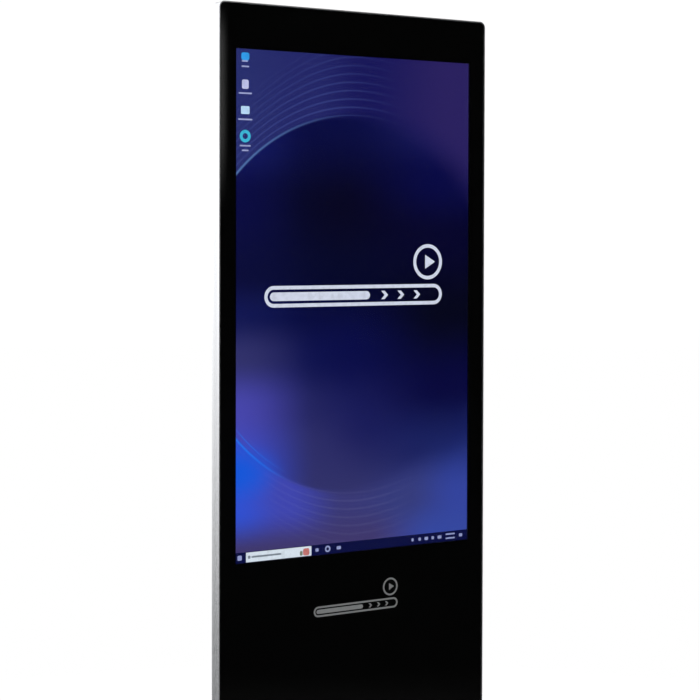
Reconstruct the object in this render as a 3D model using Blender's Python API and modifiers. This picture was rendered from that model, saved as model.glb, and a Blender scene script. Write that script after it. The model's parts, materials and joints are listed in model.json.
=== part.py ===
"""Slim floor-standing touchscreen kiosk, as an assembly of its separate pieces.

Metres, +Z up. The origin is on the floor under the middle of the base plate. The screen faces -Y
and +X is to the viewer's right. A silver frame holds one black-bordered glass over a portrait
43 inch panel. Behind it stand a steel chassis, the electronics and a sheet-steel rear cover with a
lockable service door. The chassis is bolted to a heavy base plate on four levelling feet.
"""

import math

import bmesh
import bpy
from mathutils import Matrix, Vector

# ---------------------------------------------------------------- driving dimensions
GAP = 0.0003  # clearance between pieces that touch

# Levelling feet and base plate
BASE_WIDTH = 0.600
BASE_DEPTH = 0.400
BASE_THICKNESS = 0.008
BASE_CORNER_RADIUS = 0.030
FOOT_CLEARANCE = 0.018  # floor to the underside of the base plate
FOOT_INSET = 0.045
FOOT_PAD_RADIUS = 0.022
FOOT_PAD_HEIGHT = 0.006
FOOT_NECK_HEIGHT = 0.004
STUD_RADIUS = 0.005
STUD_HOLE_RADIUS = 0.0054
NUT_RADIUS = 0.0095
NUT_HEIGHT = 0.005

# Cabinet
CABINET_WIDTH = 0.604
OVERALL_HEIGHT = 1.800
FRAME_DEPTH = 0.026
COVER_DEPTH = 0.030  # how far the rear cover stands out behind the frame
FRAME_WALL = 0.002
FRAME_CORNER_RADIUS = 0.0118
FRAME_EDGE_BEVEL = 0.0007
SHELF_INSET = 0.012
SHELF_THICKNESS = 0.002
MITRE_SHIFT = 0.00025

# Front glass and display
GLASS_THICKNESS = 0.004
GLASS_BEVEL = 0.0005
ACTIVE_WIDTH = 0.5294  # 43 inch panel, upright
ACTIVE_HEIGHT = 0.9412
TOP_BORDER = 0.0818  # glass edge to the picture
SENSOR_MARGIN = 0.008
SENSOR_THICKNESS = 0.0005
BEZEL_MARGIN = 0.010
BEZEL_LIP = 0.001
BEZEL_WALL = 0.001
MODULE_DEPTH = 0.012
CELL_MARGIN = 0.006
CELL_THICKNESS = 0.0018

# Rear cover
COVER_SHEET = 0.0015
COVER_RIM_INSET = 0.012
COVER_TAPER = 0.018
COVER_EDGE_RADIUS = 0.005
DOOR_HALF_WIDTH = 0.160
DOOR_LOW = 0.200
DOOR_HIGH = 0.620
DOOR_GAP = 0.002
DOOR_RETURN = 0.0055
COVER_RETURN = 0.0065

# Hinges and lock of the service door
HINGE_BARREL_RADIUS = 0.0032
HINGE_PIN_RADIUS = 0.0016
HINGE_BORE_RADIUS = 0.0020
HINGE_LEAF_LENGTH = 0.022
HINGE_KNUCKLE_HEIGHT = 0.018
HINGE_HEIGHTS = {"lower": 0.270, "upper": 0.550}
LOCK_EDGE_DISTANCE = 0.022
LOCK_HEIGHT = 0.410
LOCK_BARREL_RADIUS = 0.008
LOCK_PLUG_RADIUS = 0.0055
LOCK_CAM_REACH = 0.028

# Chassis
UPRIGHT_X = 0.262
UPRIGHT_WIDTH = 0.020
TUBE_DEPTH = 0.015
TUBE_WALL = 0.0015
UPRIGHT_TOP = 1.778
RAIL_HEIGHTS = (0.095, 0.700, 1.250, 1.745)
BRACKET_THICKNESS = 0.006
BRACKET_HEIGHT = 0.130
GUSSET_HEIGHT = 0.045
BOLT_X = 0.232
BOLT_Y = (-0.012, 0.014)
BOLT_RADIUS = 0.0038
BOLT_HOLE_RADIUS = 0.0044

# Fans
FAN_SIZE = 0.060
FAN_DEPTH = 0.015
FAN_X = 0.090
FAN_Z = 1.660
FAN_BORE_RADIUS = 0.0285
FAN_HUB_RADIUS = 0.012
FAN_BLADE_REACH = 0.0275
FAN_BLADES = 7
FAN_STRUTS = 4

# Power inlet with its rocker, and the connector panel
INLET_X = -0.205
PORTS_X = 0.200
SOCKETS_Z = 0.135
INLET_HALF_WIDTH = 0.0134
INLET_HALF_HEIGHT = 0.0235
INLET_BODY_DEPTH = 0.024
SOCKET_HALF_WIDTH = 0.012
SOCKET_HALF_HEIGHT = 0.0083
SOCKET_DEPTH = 0.0165
SOCKET_DROP = 0.012
ROCKER_RISE = 0.011
ROCKER_HALF_WIDTH = 0.006
ROCKER_HALF_HEIGHT = 0.0083
ROCKER_TILT = math.radians(12.0)
PORTS_HALF_WIDTH = 0.036
PORTS_HALF_HEIGHT = 0.0105
PORTS_DEPTH = 0.016

# Electronics
PC_LOW = (-0.140, 0.435)
PC_SIZE = (0.190, 0.032, 0.140)
PC_BUTTON_RADIUS = 0.005
SUPPLY_LOW = (-0.140, 0.235)
SUPPLY_SIZE = (0.215, 0.030, 0.110)
SPEAKER_X = 0.205
SPEAKER_Z = 0.660

# ---------------------------------------------------------------- places worked out from them
BASE_TOP = FOOT_CLEARANCE + BASE_THICKNESS
CABINET_BOTTOM = BASE_TOP + 0.0005
HALF_WIDTH = CABINET_WIDTH / 2
FRONT_Y = -(FRAME_DEPTH + COVER_DEPTH) / 2
FRAME_BACK_Y = FRONT_Y + FRAME_DEPTH
BACK_Y = FRAME_BACK_Y + COVER_DEPTH
GLASS_BACK_Y = FRONT_Y + GLASS_THICKNESS
GLASS_TOP = OVERALL_HEIGHT - FRAME_WALL - GAP
SCREEN_TOP = GLASS_TOP - TOP_BORDER
SCREEN_BOTTOM = SCREEN_TOP - ACTIVE_HEIGHT
SCREEN_MIDDLE = (SCREEN_TOP + SCREEN_BOTTOM) / 2
SHELF_FRONT_Y = GLASS_BACK_Y + 0.0005
SHELF_BACK_Y = SHELF_FRONT_Y + SHELF_THICKNESS
SENSOR_FRONT_Y = GLASS_BACK_Y + GAP
MODULE_FRONT_Y = SENSOR_FRONT_Y + SENSOR_THICKNESS + GAP
MODULE_BACK_Y = MODULE_FRONT_Y + MODULE_DEPTH
TUBE_FRONT_Y = MODULE_BACK_Y + GAP
TUBE_BACK_Y = TUBE_FRONT_Y + TUBE_DEPTH
COVER_RIM_Y = FRAME_BACK_Y - 0.0025
COVER_BOTTOM = CABINET_BOTTOM + FRAME_WALL + 0.0005
COVER_INNER_Y = BACK_Y - COVER_SHEET
HINGE_AXIS_X = -DOOR_HALF_WIDTH
HINGE_AXIS_Y = BACK_Y + 0.0038
LOCK_X = DOOR_HALF_WIDTH - LOCK_EDGE_DISTANCE
TRAY_Y = GLASS_BACK_Y + 0.008
TRAY_BACK_Y = TRAY_Y + COVER_SHEET
FLANGE_LOW = COVER_BOTTOM + COVER_SHEET + 0.0005
ROCKER_PIVOT = Vector((INLET_X, BACK_Y + 0.0005, SOCKETS_Z + ROCKER_RISE))

PARTS = "touchscreen_kiosk"
CUTTERS = "cutters"


# ---------------------------------------------------------------- scene and materials
def clear_scene():
    for old in list(bpy.data.objects):
        bpy.data.objects.remove(old, do_unlink=True)


def collection(name):
    found = bpy.data.collections.get(name)
    if found is None:
        found = bpy.data.collections.new(name)
        bpy.context.scene.collection.children.link(found)
    return found


def move_to(piece, name):
    for owner in list(piece.users_collection):
        owner.objects.unlink(piece)
    collection(name).objects.link(piece)


def material(name, colour, roughness, metallic=0.0):
    made = bpy.data.materials.get(name)
    if made is None:
        made = bpy.data.materials.new(name)
        made.use_nodes = True
        shader = made.node_tree.nodes["Principled BSDF"]
        shader.inputs["Base Color"].default_value = (*colour, 1.0)
        shader.inputs["Roughness"].default_value = roughness
        shader.inputs["Metallic"].default_value = metallic
    return made


def black_glass():
    return material("black_glass", (0.006, 0.006, 0.008), 0.05)


def sensor_film():
    return material("sensor_film", (0.10, 0.11, 0.13), 0.15)


def display_picture():
    return material("display_picture", (0.02, 0.03, 0.16), 0.25)


def silver_aluminium():
    return material("silver_aluminium", (0.72, 0.73, 0.75), 0.30, 1.0)


def zinc_steel():
    return material("zinc_steel", (0.50, 0.51, 0.52), 0.45, 1.0)


def charcoal_steel():
    return material("charcoal_steel", (0.035, 0.036, 0.040), 0.55)


def bright_steel():
    return material("bright_steel", (0.60, 0.60, 0.61), 0.28, 1.0)


def black_plastic():
    return material("black_plastic", (0.018, 0.018, 0.020), 0.45)


def black_rubber():
    return material("black_rubber", (0.015, 0.015, 0.015), 0.85)


def circuit_board():
    return material("circuit_board", (0.02, 0.16, 0.07), 0.45)


# ---------------------------------------------------------------- shapes
def add_bevel(piece, width, segments=2, angle=50.0):
    rounding = piece.modifiers.new("Bevel", "BEVEL")
    rounding.width = width
    rounding.segments = segments
    rounding.limit_method = "ANGLE"
    rounding.angle_limit = math.radians(angle)


def box(name, low, high, bevel=0.0, segments=2):
    """A box between two corners."""
    middle = [(a + b) / 2 for a, b in zip(low, high)]
    bpy.ops.mesh.primitive_cube_add(size=1.0, location=middle)
    piece = bpy.context.object
    piece.name = name
    piece.scale = [b - a for a, b in zip(low, high)]
    bpy.ops.object.transform_apply(location=False, rotation=False, scale=True)
    if bevel:
        add_bevel(piece, bevel, segments)
    return piece


def cylinder(name, radius, start, end, vertices=32, end_radius=None):
    """A cylinder, or a cone, between two points of its axis."""
    start = Vector(start)
    end = Vector(end)
    far_radius = radius if end_radius is None else end_radius
    bpy.ops.mesh.primitive_cone_add(
        vertices=vertices, radius1=radius, radius2=far_radius, depth=(end - start).length,
        location=(start + end) / 2)
    piece = bpy.context.object
    piece.name = name
    piece.rotation_mode = "QUATERNION"
    piece.rotation_quaternion = (end - start).to_track_quat("Z", "Y")
    return piece


def as_mesh(drawn, name):
    """The closed mesh of a curve object, which it replaces."""
    bpy.context.view_layer.update()
    graph = bpy.context.evaluated_depsgraph_get()
    data = bpy.data.meshes.new_from_object(drawn.evaluated_get(graph))
    shape = bmesh.new()
    shape.from_mesh(data)
    bmesh.ops.remove_doubles(shape, verts=shape.verts, dist=0.00001)
    shape.to_mesh(data)
    shape.free()
    piece = bpy.data.objects.new(name, data)
    piece.matrix_world = drawn.matrix_world
    bpy.context.scene.collection.objects.link(piece)
    bpy.data.objects.remove(drawn, do_unlink=True)
    return piece


def drawn_curve(name, outlines):
    data = bpy.data.curves.new(name, "CURVE")
    for outline in outlines:
        spline = data.splines.new("POLY")
        spline.points.add(len(outline) - 1)
        for point, place in zip(spline.points, outline):
            point.co = (*place, 1.0)
    drawn = bpy.data.objects.new(name + "_drawn", data)
    bpy.context.scene.collection.objects.link(drawn)
    return drawn


def prism(name, outlines, low, high, axis="Y"):
    """Closed outlines drawn out along an axis. An outline inside another one is a hole.

    Along Y an outline's points are (x, z), along Z they are (x, y), and along X they are (y, z).
    """
    turns = {
        "X": Matrix(((0, 0, 1, 0), (1, 0, 0, 0), (0, 1, 0, 0), (0, 0, 0, 1))),
        "Y": Matrix.Rotation(math.pi / 2, 4, "X"),
        "Z": Matrix.Identity(4),
    }
    drawn = drawn_curve(name, [[(u, v, 0.0) for u, v in outline] for outline in outlines])
    drawn.data.dimensions = "2D"
    drawn.data.fill_mode = "BOTH"
    drawn.data.extrude = (high - low) / 2
    for spline in drawn.data.splines:
        spline.use_cyclic_u = True
    along = {"X": (1, 0, 0), "Y": (0, 1, 0), "Z": (0, 0, 1)}[axis]
    drawn.matrix_world = Matrix.Translation(Vector(along) * (low + high) / 2) @ turns[axis]
    return as_mesh(drawn, name)


def rounded_outline(low, high, radius, steps=6):
    """Points round a rectangle between two corners, with arcs of a radius at its corners."""
    corners = (
        (high[0] - radius, high[1] - radius, 0.0),
        (low[0] + radius, high[1] - radius, 90.0),
        (low[0] + radius, low[1] + radius, 180.0),
        (high[0] - radius, low[1] + radius, 270.0),
    )
    points = []
    for centre_u, centre_v, first in corners:
        for step in range(steps + 1):
            turn = math.radians(first + 90.0 * step / steps)
            points.append((centre_u + radius * math.cos(turn), centre_v + radius * math.sin(turn)))
    return points


def inset_outline(inset, radius, steps=6):
    """The cabinet's front outline, moved inwards."""
    low = (-HALF_WIDTH + inset, CABINET_BOTTOM + inset)
    high = (HALF_WIDTH - inset, OVERALL_HEIGHT - inset)
    return rounded_outline(low, high, radius, steps)


def screen_outline(margin, radius=0.001):
    """The picture's outline, moved outwards."""
    low = (-ACTIVE_WIDTH / 2 - margin, SCREEN_BOTTOM - margin)
    high = (ACTIVE_WIDTH / 2 + margin, SCREEN_TOP + margin)
    return rounded_outline(low, high, radius, 2)


def turned(name, profile, steps=24):
    """A profile of (radius, height) points, from the top down, turned about Z."""
    data = bpy.data.meshes.new(name)
    points = [(radius, 0.0, height) for radius, height in profile]
    data.from_pydata(points, [(i, i + 1) for i in range(len(points) - 1)], [])
    piece = bpy.data.objects.new(name, data)
    bpy.context.scene.collection.objects.link(piece)
    turn = piece.modifiers.new("Screw", "SCREW")
    turn.steps = steps
    turn.render_steps = steps
    turn.use_merge_vertices = True
    turn.merge_threshold = 0.00001
    return piece


def tube(name, points, radius):
    """A round lead along a smooth curve through a few points."""
    path = smooth_path([Vector(point) for point in points])
    drawn = drawn_curve(name, [path])
    drawn.data.dimensions = "3D"
    drawn.data.bevel_depth = radius
    drawn.data.bevel_resolution = 2
    drawn.data.use_fill_caps = True
    return as_mesh(drawn, name)


def smooth_path(points, steps=4):
    """A Catmull-Rom curve through the points."""
    ends = [2 * points[0] - points[1], *points, 2 * points[-1] - points[-2]]
    path = []
    for before, start, end, after in zip(ends, ends[1:], ends[2:], ends[3:]):
        for step in range(steps):
            t = step / steps
            path.append(0.5 * (2 * start + (end - before) * t
                               + (2 * before - 5 * start + 4 * end - after) * t * t
                               + (3 * start - before - 3 * end + after) * t ** 3))
    path.append(points[-1])
    return path


def boolean(piece, operand, operation):
    operand.hide_render = True
    operand.display_type = "WIRE"
    move_to(operand, CUTTERS)
    step = piece.modifiers.new(operation.title(), "BOOLEAN")
    step.operation = operation
    step.solver = "EXACT"
    step.object = operand


def cut(piece, *operands):
    for operand in operands:
        boolean(piece, operand, "DIFFERENCE")


def join(piece, *operands):
    for operand in operands:
        boolean(piece, operand, "UNION")


def finish(piece, finish_material, smooth=False):
    """Gives a finished sub-part its material and its collection."""
    piece.data.materials.clear()
    piece.data.materials.append(finish_material)
    move_to(piece, PARTS)
    if smooth:
        piece.data.shade_smooth()
        piece.data.set_sharp_from_angle(angle=math.radians(35.0))
    return piece


def axis_empty(name, place):
    """An empty on a joint's axis, which its moving pieces hang from."""
    empty = bpy.data.objects.new(name, None)
    empty.location = place
    collection(PARTS).objects.link(empty)
    return empty


def hang_from(empty, *pieces):
    bpy.context.view_layer.update()
    for piece in pieces:
        piece.parent = empty
        piece.matrix_parent_inverse = empty.matrix_world.inverted()


# ---------------------------------------------------------------- base
def foot_places():
    x = BASE_WIDTH / 2 - FOOT_INSET
    y = BASE_DEPTH / 2 - FOOT_INSET
    return {
        "front_left": (-x, -y),
        "front_right": (x, -y),
        "rear_left": (-x, y),
        "rear_right": (x, y),
    }


def bolt_places():
    return {
        "front_left": (-BOLT_X, BOLT_Y[0]),
        "front_right": (BOLT_X, BOLT_Y[0]),
        "rear_left": (-BOLT_X, BOLT_Y[1]),
        "rear_right": (BOLT_X, BOLT_Y[1]),
    }


def upright_hole(x, y, low, high, radius, vertices=16):
    return cylinder("hole", radius, (x, y, low), (x, y, high), vertices)


def base_plate():
    low = (-BASE_WIDTH / 2, -BASE_DEPTH / 2)
    high = (BASE_WIDTH / 2, BASE_DEPTH / 2)
    outline = rounded_outline(low, high, BASE_CORNER_RADIUS, 7)
    plate = prism("base_plate", [outline], FOOT_CLEARANCE, BASE_TOP, "Z")
    add_bevel(plate, 0.0015)
    for x, y in foot_places().values():
        cut(plate, upright_hole(x, y, 0.010, 0.040, STUD_HOLE_RADIUS))
    for x, y in bolt_places().values():
        cut(plate, upright_hole(x, y, 0.010, 0.040, BOLT_HOLE_RADIUS))
    return finish(plate, charcoal_steel(), smooth=True)


def levelling_foot(corner, x, y):
    neck_top = FOOT_PAD_HEIGHT + FOOT_NECK_HEIGHT
    foot = turned("levelling_foot_" + corner, [
        (0.0, BASE_TOP - 0.001),
        (STUD_RADIUS - 0.0006, BASE_TOP - 0.001),
        (STUD_RADIUS, BASE_TOP - 0.0016),
        (STUD_RADIUS, FOOT_PAD_HEIGHT),
        (0.015, FOOT_PAD_HEIGHT),
        (FOOT_PAD_RADIUS - 0.001, 0.0035),
        (FOOT_PAD_RADIUS, 0.0025),
        (FOOT_PAD_RADIUS, 0.0006),
        (FOOT_PAD_RADIUS - 0.0006, 0.0),
        (0.0, 0.0),
    ])
    foot.location = (x, y, 0.0)
    neck = cylinder("neck", 0.0088, (x, y, FOOT_PAD_HEIGHT - 0.001), (x, y, neck_top), 6)
    join(foot, neck)
    return finish(foot, black_rubber(), smooth=True)


def foot_lock_nut(corner, x, y):
    low = FOOT_CLEARANCE - 0.0008 - NUT_HEIGHT
    nut = cylinder("foot_lock_nut_" + corner, NUT_RADIUS, (x, y, low), (x, y, low + NUT_HEIGHT), 6)
    cut(nut, upright_hole(x, y, low - 0.002, low + NUT_HEIGHT + 0.002, STUD_HOLE_RADIUS))
    return finish(nut, bright_steel())


def base_bolt(corner, x, y):
    """A hexagon bolt through the bracket's flange into the base plate."""
    seat = FLANGE_LOW + BRACKET_THICKNESS + GAP
    bolt = cylinder("base_bolt_" + corner, 0.0075, (x, y, seat + 0.0012), (x, y, seat + 0.0065), 6)
    washer = cylinder("washer", 0.0085, (x, y, seat), (x, y, seat + 0.0015), 20)
    shank = cylinder("shank", BOLT_RADIUS, (x, y, BASE_TOP - 0.006), (x, y, seat + 0.004), 16)
    join(bolt, washer, shank)
    return finish(bolt, bright_steel(), smooth=True)


def base_bracket(side_name, side):
    """An angle with a gusset, which carries a chassis upright on the base plate."""
    inner = side * (UPRIGHT_X - UPRIGHT_WIDTH / 2 - GAP)
    flange_top = FLANGE_LOW + BRACKET_THICKNESS
    flange_x = sorted((side * 0.212, side * (UPRIGHT_X + UPRIGHT_WIDTH / 2 - 0.002)))
    leg_x = sorted((inner, inner - side * 0.004))
    bracket = box("base_bracket_" + side_name,
                  (flange_x[0], -0.021, FLANGE_LOW), (flange_x[1], 0.022, flange_top))
    leg = box("leg", (leg_x[0], TUBE_FRONT_Y, flange_top - 0.001),
              (leg_x[1], TUBE_BACK_Y, flange_top + BRACKET_HEIGHT))
    start = inner - side * 0.002
    gusset_middle = sum(BOLT_Y) / 2
    gusset = prism("gusset", [[
        (start, flange_top - 0.001),
        (start, flange_top + GUSSET_HEIGHT),
        (inner - side * 0.006, flange_top + GUSSET_HEIGHT),
        (inner - side * 0.032, flange_top + 0.006),
        (inner - side * 0.032, flange_top - 0.001),
    ]], gusset_middle - 0.0015, gusset_middle + 0.0015)
    join(bracket, leg, gusset)
    for y in BOLT_Y:
        cut(bracket, upright_hole(side * BOLT_X, y, 0.020, 0.060, BOLT_HOLE_RADIUS))
    return finish(bracket, zinc_steel())


def make_base():
    base_plate()
    for corner, (x, y) in foot_places().items():
        levelling_foot(corner, x, y)
        foot_lock_nut(corner, x, y)
    for corner, (x, y) in bolt_places().items():
        base_bolt(corner, x, y)
    base_bracket("left", -1)
    base_bracket("right", 1)


# ---------------------------------------------------------------- frame and glass
def frame_ring(name):
    """The whole aluminium section round the cabinet: an outer wall with an inner shelf."""
    past = 0.002
    ring = prism(name, [inset_outline(0.0, FRAME_CORNER_RADIUS)], FRONT_Y, FRAME_BACK_Y)
    add_bevel(ring, FRAME_EDGE_BEVEL)
    pocket = inset_outline(FRAME_WALL, FRAME_CORNER_RADIUS - FRAME_WALL)
    cut(ring, prism("glass_pocket", [pocket], FRONT_Y - past, SHELF_FRONT_Y))
    cut(ring, prism("rear_pocket", [pocket], SHELF_BACK_Y, FRAME_BACK_Y + past))
    opening = inset_outline(SHELF_INSET, 0.002, 2)
    cut(ring, prism("opening", [opening], FRONT_Y - past, FRAME_BACK_Y + past))
    return ring


def mitre_outline(side):
    """The trapezium, cut at 45 degrees at its ends, that one side of the frame lies in."""
    out = 0.010
    deep = 0.030
    low = CABINET_BOTTOM
    high = OVERALL_HEIGHT
    if side in ("left", "right"):
        sign = -1 if side == "left" else 1
        edge = sign * (HALF_WIDTH + out)
        inner = sign * (HALF_WIDTH - deep)
        return [
            (edge, high + out - MITRE_SHIFT),
            (inner, high - deep - MITRE_SHIFT),
            (inner, low + deep + MITRE_SHIFT),
            (edge, low - out + MITRE_SHIFT),
        ]
    sign = 1 if side == "top" else -1
    edge = high if side == "top" else low
    return [
        (-HALF_WIDTH - out + MITRE_SHIFT, edge + sign * out),
        (HALF_WIDTH + out - MITRE_SHIFT, edge + sign * out),
        (HALF_WIDTH - deep - MITRE_SHIFT, edge - sign * deep),
        (-HALF_WIDTH + deep + MITRE_SHIFT, edge - sign * deep),
    ]


def frame_side(name, side):
    piece = frame_ring(name)
    wedge = prism("mitre", [mitre_outline(side)], FRONT_Y - 0.005, FRAME_BACK_Y + 0.005)
    boolean(piece, wedge, "INTERSECT")
    if side == "bottom":
        for x in (-BOLT_X, BOLT_X):
            cut(piece, upright_hole(x, BOLT_Y[0], 0.020, 0.040, BOLT_HOLE_RADIUS))
    return finish(piece, silver_aluminium(), smooth=True)


def corner_key(name, x_side, z_side):
    """A flat angle inside a corner of the frame, which ties two sides together."""
    wall = FRAME_WALL + GAP
    reach = 0.026
    leg = 0.0035
    corner_x = x_side * (HALF_WIDTH - wall)
    corner_z = OVERALL_HEIGHT - wall if z_side > 0 else CABINET_BOTTOM + wall
    clear = FRAME_CORNER_RADIUS - FRAME_WALL

    def place(u, v):
        return corner_x - x_side * u, corner_z - z_side * v

    key = prism(name, [[
        place(0.0, clear),
        place(clear, 0.0),
        place(reach, 0.0),
        place(reach, leg),
        place(clear + leg / 2, leg),
        place(leg, clear + leg / 2),
        place(leg, reach),
        place(0.0, reach),
    ]], SHELF_BACK_Y + GAP, COVER_RIM_Y - 0.002)
    return finish(key, zinc_steel())


def front_glass():
    inset = FRAME_WALL + GAP
    outline = inset_outline(inset, FRAME_CORNER_RADIUS - inset)
    glass = prism("front_glass", [outline], FRONT_Y, GLASS_BACK_Y)
    add_bevel(glass, GLASS_BEVEL)
    return finish(glass, black_glass(), smooth=True)


def make_front():
    front_glass()
    frame_side("frame_side_left", "left")
    frame_side("frame_side_right", "right")
    frame_side("frame_top", "top")
    frame_side("frame_bottom", "bottom")
    corner_key("corner_key_top_left", -1, 1)
    corner_key("corner_key_top_right", 1, 1)
    corner_key("corner_key_bottom_left", -1, -1)
    corner_key("corner_key_bottom_right", 1, -1)


# ---------------------------------------------------------------- display module
def touch_sensor():
    high = SENSOR_FRONT_Y + SENSOR_THICKNESS
    film = prism("touch_sensor", [screen_outline(SENSOR_MARGIN)], SENSOR_FRONT_Y, high)
    return finish(film, sensor_film())


def lcd_bezel():
    """The module's folded frame: a lip over the panel's edge and a wall round its sides."""
    bezel = prism("lcd_bezel", [screen_outline(BEZEL_MARGIN)], MODULE_FRONT_Y, MODULE_BACK_Y)
    window = prism("window", [screen_outline(0.0008)], MODULE_FRONT_Y - 0.002, MODULE_BACK_Y)
    hollow = prism("hollow", [screen_outline(BEZEL_MARGIN - BEZEL_WALL)],
                   MODULE_FRONT_Y + BEZEL_LIP, MODULE_BACK_Y + 0.002)
    cut(bezel, window, hollow)
    return finish(bezel, zinc_steel())


def lcd_cell():
    low = MODULE_FRONT_Y + BEZEL_LIP + GAP
    cell = prism("lcd_cell", [screen_outline(CELL_MARGIN)], low, low + CELL_THICKNESS)
    return finish(cell, display_picture())


def lcd_backlight():
    """Diffuser, light guide and rear tray as one closed unit, with its stiffening ribs."""
    low = MODULE_FRONT_Y + BEZEL_LIP + CELL_THICKNESS + 2 * GAP
    tray = prism("lcd_backlight", [screen_outline(CELL_MARGIN)], low, MODULE_BACK_Y - 0.002)
    for z in (SCREEN_MIDDLE - 0.30, SCREEN_MIDDLE, SCREEN_MIDDLE + 0.30):
        join(tray, box("rib", (-0.24, MODULE_BACK_Y - 0.004, z - 0.020),
                       (0.24, MODULE_BACK_Y - 0.0003, z + 0.020)))
    return finish(tray, zinc_steel())


def board(name, low, size, y, blocks):
    """A circuit board facing the rear, with its taller components on it.

    Each block is (x, z, width, height, depth), measured from the board's low corner.
    """
    thickness = 0.0016
    piece = box(name, (low[0], y, low[1]), (low[0] + size[0], y + thickness, low[1] + size[1]))
    for x, z, width, height, depth in blocks:
        start = (low[0] + x, y + thickness / 2, low[1] + z)
        join(piece, box("component", start, (start[0] + width, y + thickness + depth,
                                             start[2] + height)))
    return finish(piece, circuit_board())


def make_display():
    touch_sensor()
    lcd_bezel()
    lcd_cell()
    lcd_backlight()
    board("display_board", (-0.110, 0.960), (0.180, 0.120), MODULE_BACK_Y + 0.004, [
        (0.020, 0.030, 0.040, 0.040, 0.006),
        (0.080, 0.060, 0.022, 0.022, 0.002),
        (0.120, 0.020, 0.030, 0.018, 0.005),
        (0.020, 0.105, 0.090, 0.010, 0.005),
        (0.150, 0.060, 0.012, 0.050, 0.005),
    ])
    board("touch_board", (0.120, 0.980), (0.090, 0.050), MODULE_BACK_Y + 0.004, [
        (0.030, 0.015, 0.014, 0.014, 0.0015),
        (0.010, 0.040, 0.070, 0.007, 0.003),
        (0.060, 0.004, 0.012, 0.010, 0.004),
    ])


# ---------------------------------------------------------------- chassis
def square_tube(name, low, high, along):
    """A rectangular tube, open at both ends, along X (0) or Z (2)."""
    piece = box(name, low, high)
    bore_low = [value + TUBE_WALL for value in low]
    bore_high = [value - TUBE_WALL for value in high]
    bore_low[along] = low[along] - 0.01
    bore_high[along] = high[along] + 0.01
    cut(piece, box("bore", bore_low, bore_high))
    return finish(piece, zinc_steel())


def make_chassis():
    foot = FLANGE_LOW + BRACKET_THICKNESS + GAP
    half = UPRIGHT_WIDTH / 2
    for side_name, side in (("left", -1), ("right", 1)):
        middle = side * UPRIGHT_X
        square_tube("chassis_upright_" + side_name, (middle - half, TUBE_FRONT_Y, foot),
                    (middle + half, TUBE_BACK_Y, UPRIGHT_TOP), 2)
    rail_end = UPRIGHT_X - half - GAP
    for number, z in enumerate(RAIL_HEIGHTS, 1):
        end = rail_end - (0.0045 if number == 1 else 0.0)
        square_tube(f"chassis_rail_{number}", (-end, TUBE_FRONT_Y, z - 0.010),
                    (end, TUBE_BACK_Y, z + 0.010), 0)
    equipment_tray()


def equipment_tray():
    """A folded sheet between the uprights, which the computer and the power supply sit on."""
    edge = UPRIGHT_X - UPRIGHT_WIDTH / 2 - GAP
    low = 0.190
    high = 0.630
    tray = box("equipment_tray", (-edge, TRAY_Y, low), (edge, TRAY_BACK_Y, high))
    for side in (-1, 1):
        x = sorted((side * edge, side * (edge - COVER_SHEET)))
        join(tray, box("return", (x[0], TRAY_Y + 0.0005, low), (x[1], 0.002, high)))
    slots = [rounded_outline((x - 0.004, z - 0.020), (x + 0.004, z + 0.020), 0.0039, 2)
             for x in (-0.190, 0.130, 0.190) for z in (0.260, 0.410, 0.560)]
    cut(tray, prism("tray_slots", slots, TRAY_Y - 0.005, TRAY_BACK_Y + 0.005))
    return finish(tray, zinc_steel())


# ---------------------------------------------------------------- rear cover and service door
def slot_rows(x, z, length, height, pitch, count):
    """Outlines of a stack of level slots with round ends, centred on a point."""
    rows = []
    for row in range(count):
        middle = z + (row - (count - 1) / 2) * pitch
        low = (x - length / 2, middle - height / 2)
        high = (x + length / 2, middle + height / 2)
        rows.append(rounded_outline(low, high, height / 2 - 0.0001, 2))
    return rows


def cover_shell(name):
    """A shallow pan, open towards the front, whose sides and top slope in towards its back."""
    rim_x = HALF_WIDTH - COVER_RIM_INSET
    rim_top = OVERALL_HEIGHT - COVER_RIM_INSET
    shell = box(name, (-rim_x, COVER_RIM_Y, COVER_BOTTOM), (rim_x, BACK_Y, rim_top))
    bpy.context.view_layer.update()
    shape = bmesh.new()
    shape.from_mesh(shell.data)
    middle = shell.location
    for vertex in shape.verts:
        if vertex.co.y > 0:
            vertex.co.x -= math.copysign(COVER_TAPER, vertex.co.x)
            if vertex.co.z > 0:
                vertex.co.z -= COVER_TAPER
    front = [face for face in shape.faces if face.calc_center_median().y + middle.y < COVER_RIM_Y + 1e-6]
    bmesh.ops.delete(shape, geom=front, context="FACES_ONLY")
    shape.to_mesh(shell.data)
    shape.free()
    add_bevel(shell, COVER_EDGE_RADIUS, 3, 20.0)
    wall = shell.modifiers.new("Solidify", "SOLIDIFY")
    wall.thickness = COVER_SHEET
    wall.offset = -1.0
    wall.use_even_offset = True
    return shell


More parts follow.
